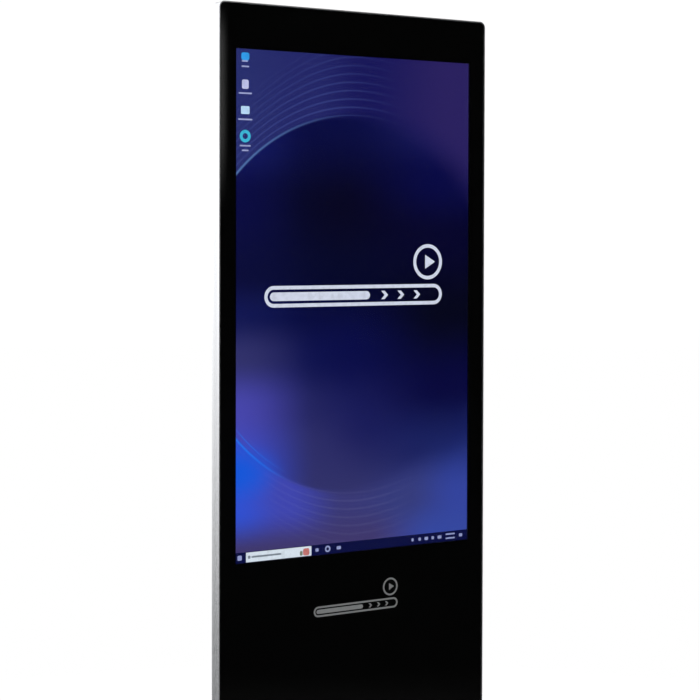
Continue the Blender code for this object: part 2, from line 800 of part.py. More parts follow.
def rear_cover():
    cover = cover_shell("rear_cover")
    rim_inset = FRAME_WALL + 0.0005
    rim = prism("rim", [inset_outline(rim_inset, FRAME_CORNER_RADIUS - rim_inset)],
                COVER_RIM_Y + 0.0005, COVER_RIM_Y + 0.0005 + COVER_SHEET)
    rim_x = HALF_WIDTH - COVER_RIM_INSET - COVER_SHEET - 0.0005
    rim_opening = box("rim_opening", (-rim_x, COVER_RIM_Y - 0.003, COVER_BOTTOM + COVER_SHEET + 0.0002),
                      (rim_x, COVER_RIM_Y + 0.006, OVERALL_HEIGHT - COVER_RIM_INSET - COVER_SHEET - 0.0006))
    cut(rim, rim_opening)
    join(cover, rim)
    wide = DOOR_HALF_WIDTH + COVER_SHEET
    surround = box("surround", (-wide, BACK_Y - COVER_RETURN - COVER_SHEET, DOOR_LOW - COVER_SHEET),
                   (wide, BACK_Y - COVER_SHEET / 2, DOOR_HIGH + COVER_SHEET))
    join(cover, surround)
    cut(cover, box("doorway", (-DOOR_HALF_WIDTH, 0.005, DOOR_LOW),
                   (DOOR_HALF_WIDTH, BACK_Y + 0.010, DOOR_HIGH)))
    back = (COVER_INNER_Y - 0.003, BACK_Y + 0.003)
    exhaust = [slot for x in (-FAN_X, FAN_X) for slot in slot_rows(x, FAN_Z, 0.062, 0.004, 0.009, 7)]
    intake = slot_rows(0.0, SOCKETS_Z, 0.150, 0.004, 0.010, 5)
    grilles = [slot for x in (-SPEAKER_X, SPEAKER_X)
               for slot in slot_rows(x, SPEAKER_Z, 0.044, 0.003, 0.007, 5)]
    cut(cover, prism("cover_slots", exhaust + intake + grilles, *back))
    clear = 0.0004
    cut(cover, box("inlet_hole", (INLET_X - INLET_HALF_WIDTH - clear, back[0],
                                  SOCKETS_Z - INLET_HALF_HEIGHT - clear),
                   (INLET_X + INLET_HALF_WIDTH + clear, back[1],
                    SOCKETS_Z + INLET_HALF_HEIGHT + clear)))
    cut(cover, box("ports_hole", (PORTS_X - PORTS_HALF_WIDTH - clear, back[0],
                                  SOCKETS_Z - PORTS_HALF_HEIGHT - clear),
                   (PORTS_X + PORTS_HALF_WIDTH + clear, back[1],
                    SOCKETS_Z + PORTS_HALF_HEIGHT + clear)))
    for x in (-BOLT_X, BOLT_X):
        cut(cover, upright_hole(x, BOLT_Y[1], 0.020, 0.040, BOLT_HOLE_RADIUS))
    return finish(cover, charcoal_steel())


def service_door():
    """A sheet flush with the cover's back, with its four edges turned in."""
    x = DOOR_HALF_WIDTH - DOOR_GAP
    low = DOOR_LOW + DOOR_GAP
    high = DOOR_HIGH - DOOR_GAP
    door = box("service_door", (-x, COVER_INNER_Y - DOOR_RETURN, low), (x, BACK_Y, high))
    add_bevel(door, 0.0006)
    inner = COVER_SHEET
    cut(door, box("door_hollow", (-x + inner, 0.0, low + inner),
                  (x - inner, COVER_INNER_Y, high - inner)))
    cut(door, cylinder("lock_hole", LOCK_BARREL_RADIUS + 0.0003, (LOCK_X, 0.0, LOCK_HEIGHT),
                       (LOCK_X, 0.05, LOCK_HEIGHT), 24))
    return finish(door, charcoal_steel())


def hinge_half(name, z, side):
    """A leaf and its knuckle. The cover's half (side -1) is the lower one and carries the pin."""
    low = z - HINGE_KNUCKLE_HEIGHT - 0.00025 if side < 0 else z + 0.00025
    high = low + HINGE_KNUCKLE_HEIGHT
    axis = (HINGE_AXIS_X, HINGE_AXIS_Y)
    knuckle = cylinder(name, HINGE_BARREL_RADIUS, (*axis, low), (*axis, high), 24)
    x = sorted((HINGE_AXIS_X, HINGE_AXIS_X + side * HINGE_LEAF_LENGTH))
    leaf_y = BACK_Y + GAP
    join(knuckle, box("leaf", (x[0], leaf_y, low), (x[1], leaf_y + 0.0015, high)))
    if side < 0:
        join(knuckle, cylinder("pin", HINGE_PIN_RADIUS, (*axis, low + 0.002),
                               (*axis, high + HINGE_KNUCKLE_HEIGHT - 0.003), 16))
    else:
        cut(knuckle, cylinder("bore", HINGE_BORE_RADIUS, (*axis, low - 0.002),
                              (*axis, high + 0.002), 16))
    return finish(knuckle, bright_steel(), smooth=True)


def lock_housing():
    front = BACK_Y + GAP
    end = BACK_Y - 0.0085
    axis = (LOCK_X, LOCK_HEIGHT)
    housing = cylinder("lock_housing", LOCK_BARREL_RADIUS, (axis[0], end, axis[1]),
                       (axis[0], front + 0.0005, axis[1]), 24)
    face = cylinder("face", 0.0105, (axis[0], front, axis[1]), (axis[0], front + 0.0018, axis[1]), 24)
    add_bevel(face, 0.0005)
    nut = cylinder("nut", 0.0115, (axis[0], end + 0.001, axis[1]),
                   (axis[0], COVER_INNER_Y - GAP, axis[1]), 6)
    join(housing, face, nut)
    cut(housing, cylinder("plug_bore", LOCK_PLUG_RADIUS + 0.0004, (axis[0], end - 0.005, axis[1]),
                          (axis[0], front + 0.01, axis[1]), 24))
    return finish(housing, bright_steel(), smooth=True)


def lock_plug():
    front = BACK_Y + GAP + 0.0014
    shoulder = BACK_Y - 0.0092
    tip = BACK_Y - 0.0128
    plug = cylinder("lock_plug", LOCK_PLUG_RADIUS, (LOCK_X, shoulder, LOCK_HEIGHT),
                    (LOCK_X, front, LOCK_HEIGHT), 24)
    join(plug, cylinder("stub", 0.003, (LOCK_X, tip, LOCK_HEIGHT),
                        (LOCK_X, shoulder + 0.002, LOCK_HEIGHT), 16))
    cut(plug, box("keyway", (LOCK_X - 0.0006, front - 0.004, LOCK_HEIGHT - 0.0032),
                  (LOCK_X + 0.0006, front + 0.002, LOCK_HEIGHT + 0.0032)))
    return finish(plug, bright_steel(), smooth=True)


def lock_cam():
    """The lever behind the door. It points down when unlocked and catches the cover's edge."""
    high = BACK_Y - 0.0092 - GAP
    low = high - 0.0022
    half = 0.0055
    outline = [(LOCK_X + half * math.cos(math.radians(turn)),
                LOCK_HEIGHT + half * math.sin(math.radians(turn))) for turn in range(0, 181, 20)]
    outline += [(LOCK_X - half, LOCK_HEIGHT - LOCK_CAM_REACH + 0.002),
                (LOCK_X - half + 0.002, LOCK_HEIGHT - LOCK_CAM_REACH),
                (LOCK_X + half - 0.002, LOCK_HEIGHT - LOCK_CAM_REACH),
                (LOCK_X + half, LOCK_HEIGHT - LOCK_CAM_REACH + 0.002)]
    cam = prism("lock_cam", [outline], low, high)
    cut(cam, cylinder("stub_hole", 0.0034, (LOCK_X, low - 0.002, LOCK_HEIGHT),
                      (LOCK_X, high + 0.002, LOCK_HEIGHT), 16))
    return finish(cam, bright_steel())


def make_rear():
    rear_cover()
    door_pieces = [service_door(), lock_housing()]
    for level, z in HINGE_HEIGHTS.items():
        hinge_half("hinge_base_" + level, z, -1)
        door_pieces.append(hinge_half("hinge_leaf_" + level, z, 1))
    door_axis = axis_empty("service_door_axis", (HINGE_AXIS_X, HINGE_AXIS_Y, DOOR_LOW))
    lock_axis = axis_empty("lock_axis", (LOCK_X, BACK_Y, LOCK_HEIGHT))
    hang_from(lock_axis, lock_plug(), lock_cam())
    hang_from(door_axis, lock_axis, *door_pieces)


# ---------------------------------------------------------------- fans
def fan_frame(name, x):
    high = COVER_INNER_Y - GAP
    low = high - FAN_DEPTH
    half = FAN_SIZE / 2
    outline = rounded_outline((x - half, FAN_Z - half), (x + half, FAN_Z + half), 0.004, 3)
    frame = prism(name, [outline], low, high)
    cut(frame, cylinder("bore", FAN_BORE_RADIUS, (x, low - 0.002, FAN_Z), (x, high + 0.002, FAN_Z), 32))
    for hole_x in (x - 0.025, x + 0.025):
        for hole_z in (FAN_Z - 0.025, FAN_Z + 0.025):
            cut(frame, cylinder("hole", 0.0022, (hole_x, low - 0.002, hole_z),
                                (hole_x, high + 0.002, hole_z), 10))
    motor = cylinder("motor", FAN_HUB_RADIUS, (x, low, FAN_Z), (x, low + 0.0025, FAN_Z), 24)
    join(frame, motor)
    for number in range(FAN_STRUTS):
        strut = box("strut", (0.0080, -0.0009, -0.0012), (0.0300, 0.0009, 0.0012))
        turn = Matrix.Rotation(math.radians(45.0 + 360.0 * number / FAN_STRUTS), 4, "Y")
        strut.matrix_world = Matrix.Translation((x, low + 0.0012, FAN_Z)) @ turn @ strut.matrix_world
        join(frame, strut)
    return finish(frame, black_plastic())


def fan_rotor(name, x):
    """A hub with tilted blades. Its origin is on its axis."""
    low = COVER_INNER_Y - GAP - FAN_DEPTH + 0.0035
    high = COVER_INNER_Y - GAP - 0.0010
    middle = (low + high) / 2
    rotor = cylinder(name, FAN_HUB_RADIUS, (x, low, FAN_Z), (x, high, FAN_Z), 24)
    for number in range(FAN_BLADES):
        blade = box("blade", (0.0105, -0.0007, -0.0050), (FAN_BLADE_REACH, 0.0007, 0.0050))
        pitch = Matrix.Rotation(math.radians(52.0), 4, "X")
        turn = Matrix.Rotation(math.tau * number / FAN_BLADES, 4, "Y")
        blade.matrix_world = Matrix.Translation((x, middle, FAN_Z)) @ turn @ pitch @ blade.matrix_world
        join(rotor, blade)
    return finish(rotor, black_plastic())


def make_fans():
    for side_name, x in (("left", -FAN_X), ("right", FAN_X)):
        fan_frame("fan_frame_" + side_name, x)
        fan_rotor("fan_rotor_" + side_name, x)


# ---------------------------------------------------------------- inlet, ports and electronics
def power_inlet():
    """A three-pin inlet with a recess above it for the rocker switch."""
    face = BACK_Y + GAP
    rim = face + 0.0025
    inlet = box("power_inlet", (INLET_X - INLET_HALF_WIDTH, face + 0.001 - INLET_BODY_DEPTH,
                                SOCKETS_Z - INLET_HALF_HEIGHT),
                (INLET_X + INLET_HALF_WIDTH, face + 0.001, SOCKETS_Z + INLET_HALF_HEIGHT))
    bezel = box("bezel", (INLET_X - 0.0160, face, SOCKETS_Z - 0.0265),
                (INLET_X + 0.0160, rim, SOCKETS_Z + 0.0265), 0.0010)
    join(inlet, bezel)
    socket_z = SOCKETS_Z - SOCKET_DROP
    floor = rim - SOCKET_DEPTH
    corner = 0.004
    outline = [
        (INLET_X - SOCKET_HALF_WIDTH, socket_z - SOCKET_HALF_HEIGHT),
        (INLET_X + SOCKET_HALF_WIDTH, socket_z - SOCKET_HALF_HEIGHT),
        (INLET_X + SOCKET_HALF_WIDTH, socket_z + SOCKET_HALF_HEIGHT - corner),
        (INLET_X + SOCKET_HALF_WIDTH - corner, socket_z + SOCKET_HALF_HEIGHT),
        (INLET_X - SOCKET_HALF_WIDTH + corner, socket_z + SOCKET_HALF_HEIGHT),
        (INLET_X - SOCKET_HALF_WIDTH, socket_z + SOCKET_HALF_HEIGHT - corner),
    ]
    cut(inlet, prism("socket", [outline], floor, rim + 0.002))
    for pin_x, pin_z in ((-0.007, -0.002), (0.0, 0.002), (0.007, -0.002)):
        x = INLET_X + pin_x
        z = socket_z + pin_z
        join(inlet, box("pin", (x - 0.001, floor - 0.001, z - 0.002), (x + 0.001, rim - 0.005, z + 0.002)))
    x, y, z = ROCKER_PIVOT
    cut(inlet, box("rocker_well", (x - ROCKER_HALF_WIDTH - 0.0006, y - 0.0068, z - 0.0096),
                   (x + ROCKER_HALF_WIDTH + 0.0006, rim + 0.002, z + 0.0096)))
    return finish(inlet, black_plastic())


def power_rocker():
    """The switch's rocker, resting switched on, with its upper end pressed in. It turns about X."""
    outline = [(0.0030, -ROCKER_HALF_HEIGHT), (0.0014, 0.0), (0.0030, ROCKER_HALF_HEIGHT),
               (-0.0010, ROCKER_HALF_HEIGHT), (-0.0040, 0.0055), (-0.0040, -0.0055),
               (-0.0010, -ROCKER_HALF_HEIGHT)]
    rocker = prism("power_rocker", [outline], -ROCKER_HALF_WIDTH, ROCKER_HALF_WIDTH, "X")
    rocker.matrix_world = (Matrix.Translation(ROCKER_PIVOT) @ Matrix.Rotation(ROCKER_TILT, 4, "X")
                           @ rocker.matrix_world)
    return finish(rocker, black_plastic())


def io_panel():
    """A network socket and two data sockets behind one face plate."""
    face = BACK_Y + GAP
    rim = face + 0.0015
    panel = box("io_panel", (PORTS_X - PORTS_HALF_WIDTH, face + 0.0005 - PORTS_DEPTH,
                             SOCKETS_Z - PORTS_HALF_HEIGHT),
                (PORTS_X + PORTS_HALF_WIDTH, face + 0.0005, SOCKETS_Z + PORTS_HALF_HEIGHT))
    plate = box("face_plate", (PORTS_X - PORTS_HALF_WIDTH - 0.006, face, SOCKETS_Z - 0.016),
                (PORTS_X + PORTS_HALF_WIDTH + 0.006, rim, SOCKETS_Z + 0.016))
    join(panel, plate)
    for x, width, height in ((-0.022, 0.0120, 0.0085), (0.0, 0.0133, 0.0056), (0.022, 0.0133, 0.0056)):
        middle = PORTS_X + x
        cut(panel, box("port", (middle - width / 2, rim - 0.0125, SOCKETS_Z - height / 2),
                       (middle + width / 2, rim + 0.002, SOCKETS_Z + height / 2)))
    return finish(panel, bright_steel())


def mini_pc():
    low = (PC_LOW[0], TRAY_BACK_Y + GAP, PC_LOW[1])
    high = (low[0] + PC_SIZE[0], low[1] + PC_SIZE[1], low[2] + PC_SIZE[2])
    case = box("mini_pc", low, high, 0.003, 2)
    grooves = [rounded_outline((low[0] + 0.020 + 0.012 * i, low[2] + 0.020),
                               (low[0] + 0.025 + 0.012 * i, high[2] - 0.020), 0.0024, 2)
               for i in range(9)]
    cut(case, prism("grooves", grooves, high[1] - 0.0015, high[1] + 0.002))
    x, y, z = pc_button_place()
    cut(case, cylinder("button_bore", PC_BUTTON_RADIUS + 0.0004, (x, y - 0.008, z), (x, y + 0.005, z), 24))
    for start, width in ((0.030, 0.015), (0.055, 0.030), (0.100, 0.016), (0.125, 0.014)):
        cut(case, box("socket", (low[0] + start, low[1] + 0.010, high[2] - 0.006),
                      (low[0] + start + width, low[1] + 0.018, high[2] + 0.002)))
    return finish(case, black_plastic())


def pc_button_place():
    return PC_LOW[0] + PC_SIZE[0] - 0.024, TRAY_BACK_Y + GAP + PC_SIZE[1], PC_LOW[1] + 0.024


def pc_power_button():
    x, y, z = pc_button_place()
    button = cylinder("pc_power_button", PC_BUTTON_RADIUS, (x, y - 0.0055, z), (x, y + 0.0012, z), 24)
    add_bevel(button, 0.0005)
    return finish(button, bright_steel(), smooth=True)


def power_supply():
    low = (SUPPLY_LOW[0], TRAY_BACK_Y + GAP, SUPPLY_LOW[1])
    high = (low[0] + SUPPLY_SIZE[0], low[1] + SUPPLY_SIZE[1], low[2] + SUPPLY_SIZE[2])
    case = box("power_supply", low, high, 0.0012)
    cut(case, box("terminal_bay", (low[0] - 0.002, low[1] + 0.012, low[2] + 0.008),
                  (low[0] + 0.018, high[1] + 0.002, high[2] - 0.008)))
    for i in range(7):
        z = low[2] + 0.0145 + 0.0122 * i
        join(case, box("terminal", (low[0] + 0.006, low[1] + 0.011, z),
                       (low[0] + 0.019, low[1] + 0.020, z + 0.008)))
    return finish(case, zinc_steel())


def speaker(name, x):
    """A small loudspeaker box whose driver faces the slots in the rear cover."""
    face = COVER_INNER_Y - GAP
    case = box(name, (x - 0.030, face - 0.022, SPEAKER_Z - 0.026),
               (x + 0.030, face, SPEAKER_Z + 0.026), 0.002)
    cut(case, cylinder("cone", 0.0215, (x, face + 0.0005, SPEAKER_Z),
                       (x, face - 0.009, SPEAKER_Z), 24, 0.009))
    bpy.ops.mesh.primitive_uv_sphere_add(segments=16, ring_count=8, radius=0.008,
                                         location=(x, face - 0.0095, SPEAKER_Z))
    join(case, bpy.context.object)
    return finish(case, black_plastic())


def make_electronics():
    power_inlet()
    hang_from(axis_empty("power_rocker_axis", ROCKER_PIVOT), power_rocker())
    io_panel()
    mini_pc()
    pc_power_button()
    power_supply()
    speaker("speaker_left", -SPEAKER_X)
    speaker("speaker_right", SPEAKER_X)
    inlet_back = BACK_Y + GAP + 0.001 - INLET_BODY_DEPTH - GAP
    supply_bay = TRAY_BACK_Y + 0.022
    finish(tube("mains_lead", [
        (INLET_X, inlet_back - 0.0005, SOCKETS_Z),
        (INLET_X, inlet_back - 0.0085, SOCKETS_Z + 0.0005),
        (INLET_X + 0.002, inlet_back - 0.013, SOCKETS_Z + 0.030),
        (INLET_X + 0.014, 0.006, SOCKETS_Z + 0.080),
        (INLET_X + 0.030, supply_bay - 0.006, SOCKETS_Z + 0.125),
        (INLET_X + 0.050, supply_bay - 0.002, SOCKETS_Z + 0.140),
        (SUPPLY_LOW[0] + 0.0050, supply_bay - 0.002, SOCKETS_Z + 0.142),
    ], 0.003), black_rubber(), smooth=True)
    picture_x = PC_LOW[0] + 0.070
    board_face = MODULE_BACK_Y + 0.0056
    pc_port = TRAY_BACK_Y + 0.0143
    finish(tube("display_cable", [
        (picture_x, pc_port, PC_LOW[1] + PC_SIZE[2] + GAP),
        (picture_x, pc_port + 0.002, PC_LOW[1] + PC_SIZE[2] + 0.030),
        (picture_x - 0.006, TUBE_BACK_Y + 0.006, 0.660),
        (picture_x - 0.010, TUBE_BACK_Y + 0.007, 0.740),
        (picture_x - 0.010, TUBE_BACK_Y + 0.004, 0.820),
        (picture_x - 0.004, board_face + 0.004, 0.900),
        (picture_x, board_face + 0.0035, 0.957),
    ], 0.0025), black_rubber(), smooth=True)


def main():
    clear_scene()
    make_base()
    make_front()
    make_display()
    make_chassis()
    make_rear()
    make_fans()
    make_electronics()


main()
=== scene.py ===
"""The looks of the slim touchscreen kiosk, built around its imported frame.

Metres, +Z up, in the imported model's own frame: the screen faces -Y, +X is to the right of a viewer
who faces it, and the floor is at Z = 0.
"""

import json
from math import cos, pi, radians, sin, tau

import bmesh
import bpy
from mathutils import Matrix, Vector


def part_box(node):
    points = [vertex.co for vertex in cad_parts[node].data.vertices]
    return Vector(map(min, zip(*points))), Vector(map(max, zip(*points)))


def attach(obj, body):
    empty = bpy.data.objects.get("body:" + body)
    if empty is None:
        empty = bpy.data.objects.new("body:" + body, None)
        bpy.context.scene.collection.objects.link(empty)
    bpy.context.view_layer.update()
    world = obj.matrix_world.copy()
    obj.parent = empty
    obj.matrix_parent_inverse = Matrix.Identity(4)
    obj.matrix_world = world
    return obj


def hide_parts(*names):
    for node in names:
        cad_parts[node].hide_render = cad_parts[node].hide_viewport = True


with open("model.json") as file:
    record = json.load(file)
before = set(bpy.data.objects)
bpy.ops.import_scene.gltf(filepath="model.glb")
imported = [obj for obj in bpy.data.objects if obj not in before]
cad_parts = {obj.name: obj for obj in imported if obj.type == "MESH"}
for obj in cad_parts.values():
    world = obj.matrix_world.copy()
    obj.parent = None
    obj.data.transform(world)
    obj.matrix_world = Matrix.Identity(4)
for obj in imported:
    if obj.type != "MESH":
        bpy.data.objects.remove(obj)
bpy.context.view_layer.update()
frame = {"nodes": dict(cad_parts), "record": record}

# ---- places, worked out from the frame
GLASS_LOW, GLASS_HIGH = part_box("front_glass")
SENSOR_LOW, SENSOR_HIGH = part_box("touch_sensor")
COVER_LOW, COVER_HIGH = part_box("rear_cover")
DOOR_LOW, DOOR_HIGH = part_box("service_door")
SIDE_LOW, SIDE_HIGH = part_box("frame_side_left")
CELL_FRONT_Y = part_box("lcd_cell")[0].y
BACK_Y = COVER_HIGH.y
FRAME_MIDDLE_Y = (SIDE_LOW.y + SIDE_HIGH.y) / 2
FRAME_DEPTH = SIDE_HIGH.y - SIDE_LOW.y

SENSOR_MARGIN = 0.008  # how far the touch sensor reaches past the picture
PICTURE_LEFT = SENSOR_LOW.x + SENSOR_MARGIN
PICTURE_RIGHT = SENSOR_HIGH.x - SENSOR_MARGIN
PICTURE_BOTTOM = SENSOR_LOW.z + SENSOR_MARGIN
PICTURE_TOP = SENSOR_HIGH.z - SENSOR_MARGIN
PICTURE_WIDTH = PICTURE_RIGHT - PICTURE_LEFT
PICTURE_HEIGHT = PICTURE_TOP - PICTURE_BOTTOM
PICTURE_MIDDLE = (PICTURE_BOTTOM + PICTURE_TOP) / 2

BACKWARD = (0, 1, 0)
FORWARD = (0, -1, 0)
UPWARD = (0, 0, 1)
WHITE = (1.0, 1.0, 1.0)

# ---- camera
CAMERA_PLACE = (-1.976, -2.982, 1.3696)
CAMERA_YAW = radians(33.54)
CAMERA_PITCH = radians(-1.298)
CAMERA_ROLL = radians(0.147)
CAMERA_LENS = 96.28
CAMERA_SHIFT = -0.098


def make_camera():
    """A long lens to the left of the kiosk, a little above its middle."""
    flat = cos(CAMERA_PITCH)
    ahead = Vector((sin(CAMERA_YAW) * flat, cos(CAMERA_YAW) * flat, sin(CAMERA_PITCH)))
    right = ahead.cross(Vector(UPWARD)).normalized()
    up = right.cross(ahead)
    level = cos(CAMERA_ROLL) * right + sin(CAMERA_ROLL) * up
    upright = cos(CAMERA_ROLL) * up - sin(CAMERA_ROLL) * right
    data = bpy.data.cameras.new("camera")
    data.lens = CAMERA_LENS
    data.sensor_width = 36.0
    data.shift_y = CAMERA_SHIFT
    camera = add_object("camera", data)
    turned = Matrix((level, upright, -ahead)).transposed().to_4x4()
    camera.matrix_world = Matrix.Translation(CAMERA_PLACE) @ turned
    bpy.context.scene.camera = camera


# ---- node graphs
def srgb(*shown):
    """A colour given as it shows on a screen, 0 to 255, as the linear colour that shaders take."""
    parts = [value / 255.0 for value in shown]
    return tuple(part / 12.92 if part <= 0.04045 else ((part + 0.055) / 1.055) ** 2.4 for part in parts)


class Graph:
    """Writes a node graph as short expressions. Numbers, colours and sockets mix freely."""

    def __init__(self, tree):
        self.tree = tree

    def add(self, kind, **settings):
        node = self.tree.nodes.new(kind)
        for key, value in settings.items():
            setattr(node, key, value)
        return node

    def put(self, value, socket):
        if isinstance(value, bpy.types.NodeSocket):
            self.tree.links.new(value, socket)
        elif socket.type == "RGBA":
            socket.default_value = (*value, 1.0)
        else:
            socket.default_value = value

    def math(self, operation, a, b=0.0):
        node = self.add("ShaderNodeMath", operation=operation)
        self.put(a, node.inputs[0])
        self.put(b, node.inputs[1])
        return node.outputs[0]

    def plus(self, a, b):
        return self.math("ADD", a, b)

    def minus(self, a, b):
        return self.math("SUBTRACT", a, b)

    def over(self, a, b):
        return self.math("DIVIDE", a, b)

    def times(self, first, *others):
        for other in others:
            first = self.math("MULTIPLY", first, other)
        return first

    def away(self, a, b):
        """How far the point a, b is from the origin."""
        return self.math("SQRT", self.plus(self.math("POWER", a, 2.0), self.math("POWER", b, 2.0)))

    def smooth(self, value, low, high, to_low=0.0, to_high=1.0):
        """Goes smoothly from to_low to to_high while value goes from low to high."""
        node = self.add("ShaderNodeMapRange", interpolation_type="SMOOTHSTEP")
        for name, given in (("Value", value), ("From Min", low), ("From Max", high),
                            ("To Min", to_low), ("To Max", to_high)):
            self.put(given, node.inputs[name])
        return node.outputs["Result"]

    def mix(self, factor, a, b):
        node = self.add("ShaderNodeMix", data_type="RGBA")
        self.put(factor, node.inputs[0])
        self.put(a, node.inputs[6])
        self.put(b, node.inputs[7])
        return node.outputs[2]

    def ramp(self, value, *stops):
        """Colours along a line: each stop is its place and its red, green and blue on a screen."""
        node = self.add("ShaderNodeValToRGB")
        node.color_ramp.interpolation = "EASE"
        elements = node.color_ramp.elements
        while len(elements) < len(stops):
            elements.new(0.5)
        for element, (place, *colour) in zip(elements, stops):
            element.position = place
            element.color = (*srgb(*colour), 1.0)
        self.put(value, node.inputs[0])
        return node.outputs["Color"]

    def axes(self, vector):
        node = self.add("ShaderNodeSeparateXYZ")
        self.put(vector, node.inputs[0])
        return node.outputs


class Finish(Graph):
    """A material with one Principled shader. place is the point on the piece, in metres."""

    def __init__(self, name):
        self.material = bpy.data.materials.new(name)
        self.material.use_nodes = True
        super().__init__(self.material.node_tree)
        self.shader = self.tree.nodes["Principled BSDF"]
        self.place = self.add("ShaderNodeTexCoord").outputs["Object"]

    def set(self, **values):
        """Sets shader inputs: base_color=..., roughness=... and so on."""
        for key, value in values.items():
            wanted = key.replace("_", " ")
            self.put(value, next(s for s in self.shader.inputs if s.name.lower() == wanted))
        return self

    def relief(self, height, depth):
        """Bumps of that depth, in metres, where height goes from 0 to 1."""
        node = self.add("ShaderNodeBump")
        node.inputs["Distance"].default_value = depth
        self.put(height, node.inputs["Height"])
        self.put(node.outputs["Normal"], self.shader.inputs["Normal"])
        return self

    def noise(self, scale, detail=2.0, roughness=0.5, distortion=0.0, stretch=None):
        """A noise pattern. stretch packs it closer along X, Y and Z, by that much."""
        place = self.place
        if stretch:
            mapping = self.add("ShaderNodeMapping")
            self.put(place, mapping.inputs["Vector"])
            self.put(stretch, mapping.inputs["Scale"])
            place = mapping.outputs[0]
        node = self.add("ShaderNodeTexNoise")
        for name, given in (("Vector", place), ("Scale", scale), ("Detail", detail),
                            ("Roughness", roughness), ("Distortion", distortion)):
            self.put(given, node.inputs[name])
        return node.outputs[0]


# ---- materials
def grained(name, dark, light, grain, depth, gloss, stretch=None, slow=None, **values):
    """A finish whose colour and bumps follow one grain. Its gloss follows that, or a slower drift.

    grain and slow are what noise() takes. gloss is a roughness, or its lowest and highest.
    """
    made = Finish(name)
    fine = made.noise(*grain, stretch=stretch)
    if isinstance(gloss, tuple):
        gloss = made.smooth(made.noise(*slow) if slow else fine, 0.3, 0.7, *gloss)
    made.set(base_color=made.mix(fine, dark, light), roughness=gloss, **values)
    return made.relief(fine, depth).material


def clear_glass():
    """Clear glass with faint smears."""
    made = Finish("clear_glass")
    smear = made.noise(9.0, 4.0, 0.6, 0.8)
    return made.set(base_color=(0.97, 0.99, 0.98), transmission_weight=1.0, ior=1.5,
                    roughness=made.smooth(smear, 0.45, 0.75, 0.0, 0.02)).material


def black_print():
    """Ceramic ink fired onto the back of the glass, with its fine screen-print tooth."""
    return grained("black_print", (0.0012, 0.0012, 0.0014), (0.0022, 0.0022, 0.0026), (900.0, 2.0), 0.00001,
                   0.5, specular_ior_level=0.1)


def grey_print():
    return grained("grey_print", srgb(196, 197, 199), srgb(218, 219, 221), (700.0, 2.0), 0.00001, 0.55)


SENSOR_PITCH = 0.006  # between the lines of the touch film


def clear_film():
    """The laminated touch film: all but invisible, with a faint grid of sensing lines."""
    made = Finish("clear_film")
    x, _, z = made.axes(made.place)
    away = [made.math("PINGPONG", made.over(along, SENSOR_PITCH), 0.5) for along in (x, z)]
    on_line = made.smooth(made.math("MINIMUM", *away), 0.04, 0.0)
    return made.set(base_color=(0.02, 0.02, 0.025), roughness=made.smooth(on_line, 0.0, 1.0, 0.08, 0.16),
                    alpha=made.smooth(on_line, 0.0, 1.0, 0.03, 0.05)).material


def brushed_aluminium(name, along):
    """Satin silver anodising over a fine grain that runs along one axis, with a painted highlight along its
    front and back edges and painted shade down the middle of its depth.
    """
    made = Finish(name)
    grain = made.noise(45.0, 4.0, 0.65, stretch=[1.0 if axis == along else 60.0 for axis in "XYZ"])
    cloud = made.noise(5.0, 2.0)
    light = (0.78, 0.79, 0.81)
    tint = made.mix(made.smooth(grain, 0.3, 0.7), (0.67, 0.68, 0.7), light)
    tint = made.mix(made.smooth(cloud, 0.3, 0.7, 0.0, 0.25), tint, light)
    _, y, _ = made.axes(made.place)
    inward = made.minus(made.math("ABSOLUTE", made.minus(y, FRAME_MIDDLE_Y)), FRAME_DEPTH / 2)
    # painted highlight and shade: full tint within a few millimetres of the front and back edges, 22% darker
    # down the middle of the depth
    edge_light_middle_shade = made.smooth(inward, -0.0095, -0.0005)
    made.set(base_color=made.mix(edge_light_middle_shade, made.mix(0.22, tint, (0.3, 0.31, 0.32)), tint), metallic=0.88,
             roughness=made.smooth(grain, 0.25, 0.75, 0.24, 0.32))
    return made.relief(grain, 0.000004).material


def powder_coat():
    """Charcoal fine-texture powder coat: a dense grain over a slow orange peel."""
    made = Finish("powder_coat")
    grain = made.noise(1500.0, 2.0, 0.6)
    peel = made.noise(260.0, 2.0)
    cloud = made.noise(3.5, 3.0)
    tint = made.mix(grain, (0.024, 0.025, 0.028), (0.048, 0.049, 0.054))
    made.set(base_color=made.mix(made.smooth(cloud, 0.35, 0.7, 0.0, 0.3), tint, (0.055, 0.055, 0.058)),
             roughness=made.smooth(cloud, 0.3, 0.7, 0.5, 0.62), specular_ior_level=0.45)
    return made.relief(made.plus(made.times(grain, 0.5), peel), 0.00012).material


def zinc_plate():
    """Passivated zinc: pale grey with a faint cool and warm drift and small spangles."""
    made = Finish("zinc_plate")
    cells = made.add("ShaderNodeTexVoronoi")
    made.put(made.place, cells.inputs["Vector"])
    cells.inputs["Scale"].default_value = 160.0
    spangle = cells.outputs["Distance"]
    drift = made.noise(14.0, 3.0)
    tint = made.mix(made.smooth(drift, 0.35, 0.65), (0.46, 0.48, 0.52), (0.56, 0.55, 0.52))
    made.set(base_color=made.mix(made.smooth(spangle, 0.0, 0.8, 0.0, 0.35), tint, (0.62, 0.63, 0.64)),
             metallic=1.0, roughness=made.smooth(drift, 0.3, 0.7, 0.32, 0.48))
    return made.relief(spangle, 0.00002).material


def bright_plate():
    """Nickel-plated small parts, with fine turning marks."""
    made = Finish("bright_plate")
    marks = made.noise(500.0, 3.0, stretch=(1.0, 1.0, 40.0))
    wear = made.noise(60.0, 3.0)
    made.set(base_color=made.mix(wear, (0.6, 0.6, 0.59), (0.68, 0.67, 0.65)), metallic=1.0,
             roughness=made.smooth(marks, 0.3, 0.7, 0.24, 0.3))
    return made.relief(marks, 0.000002).material


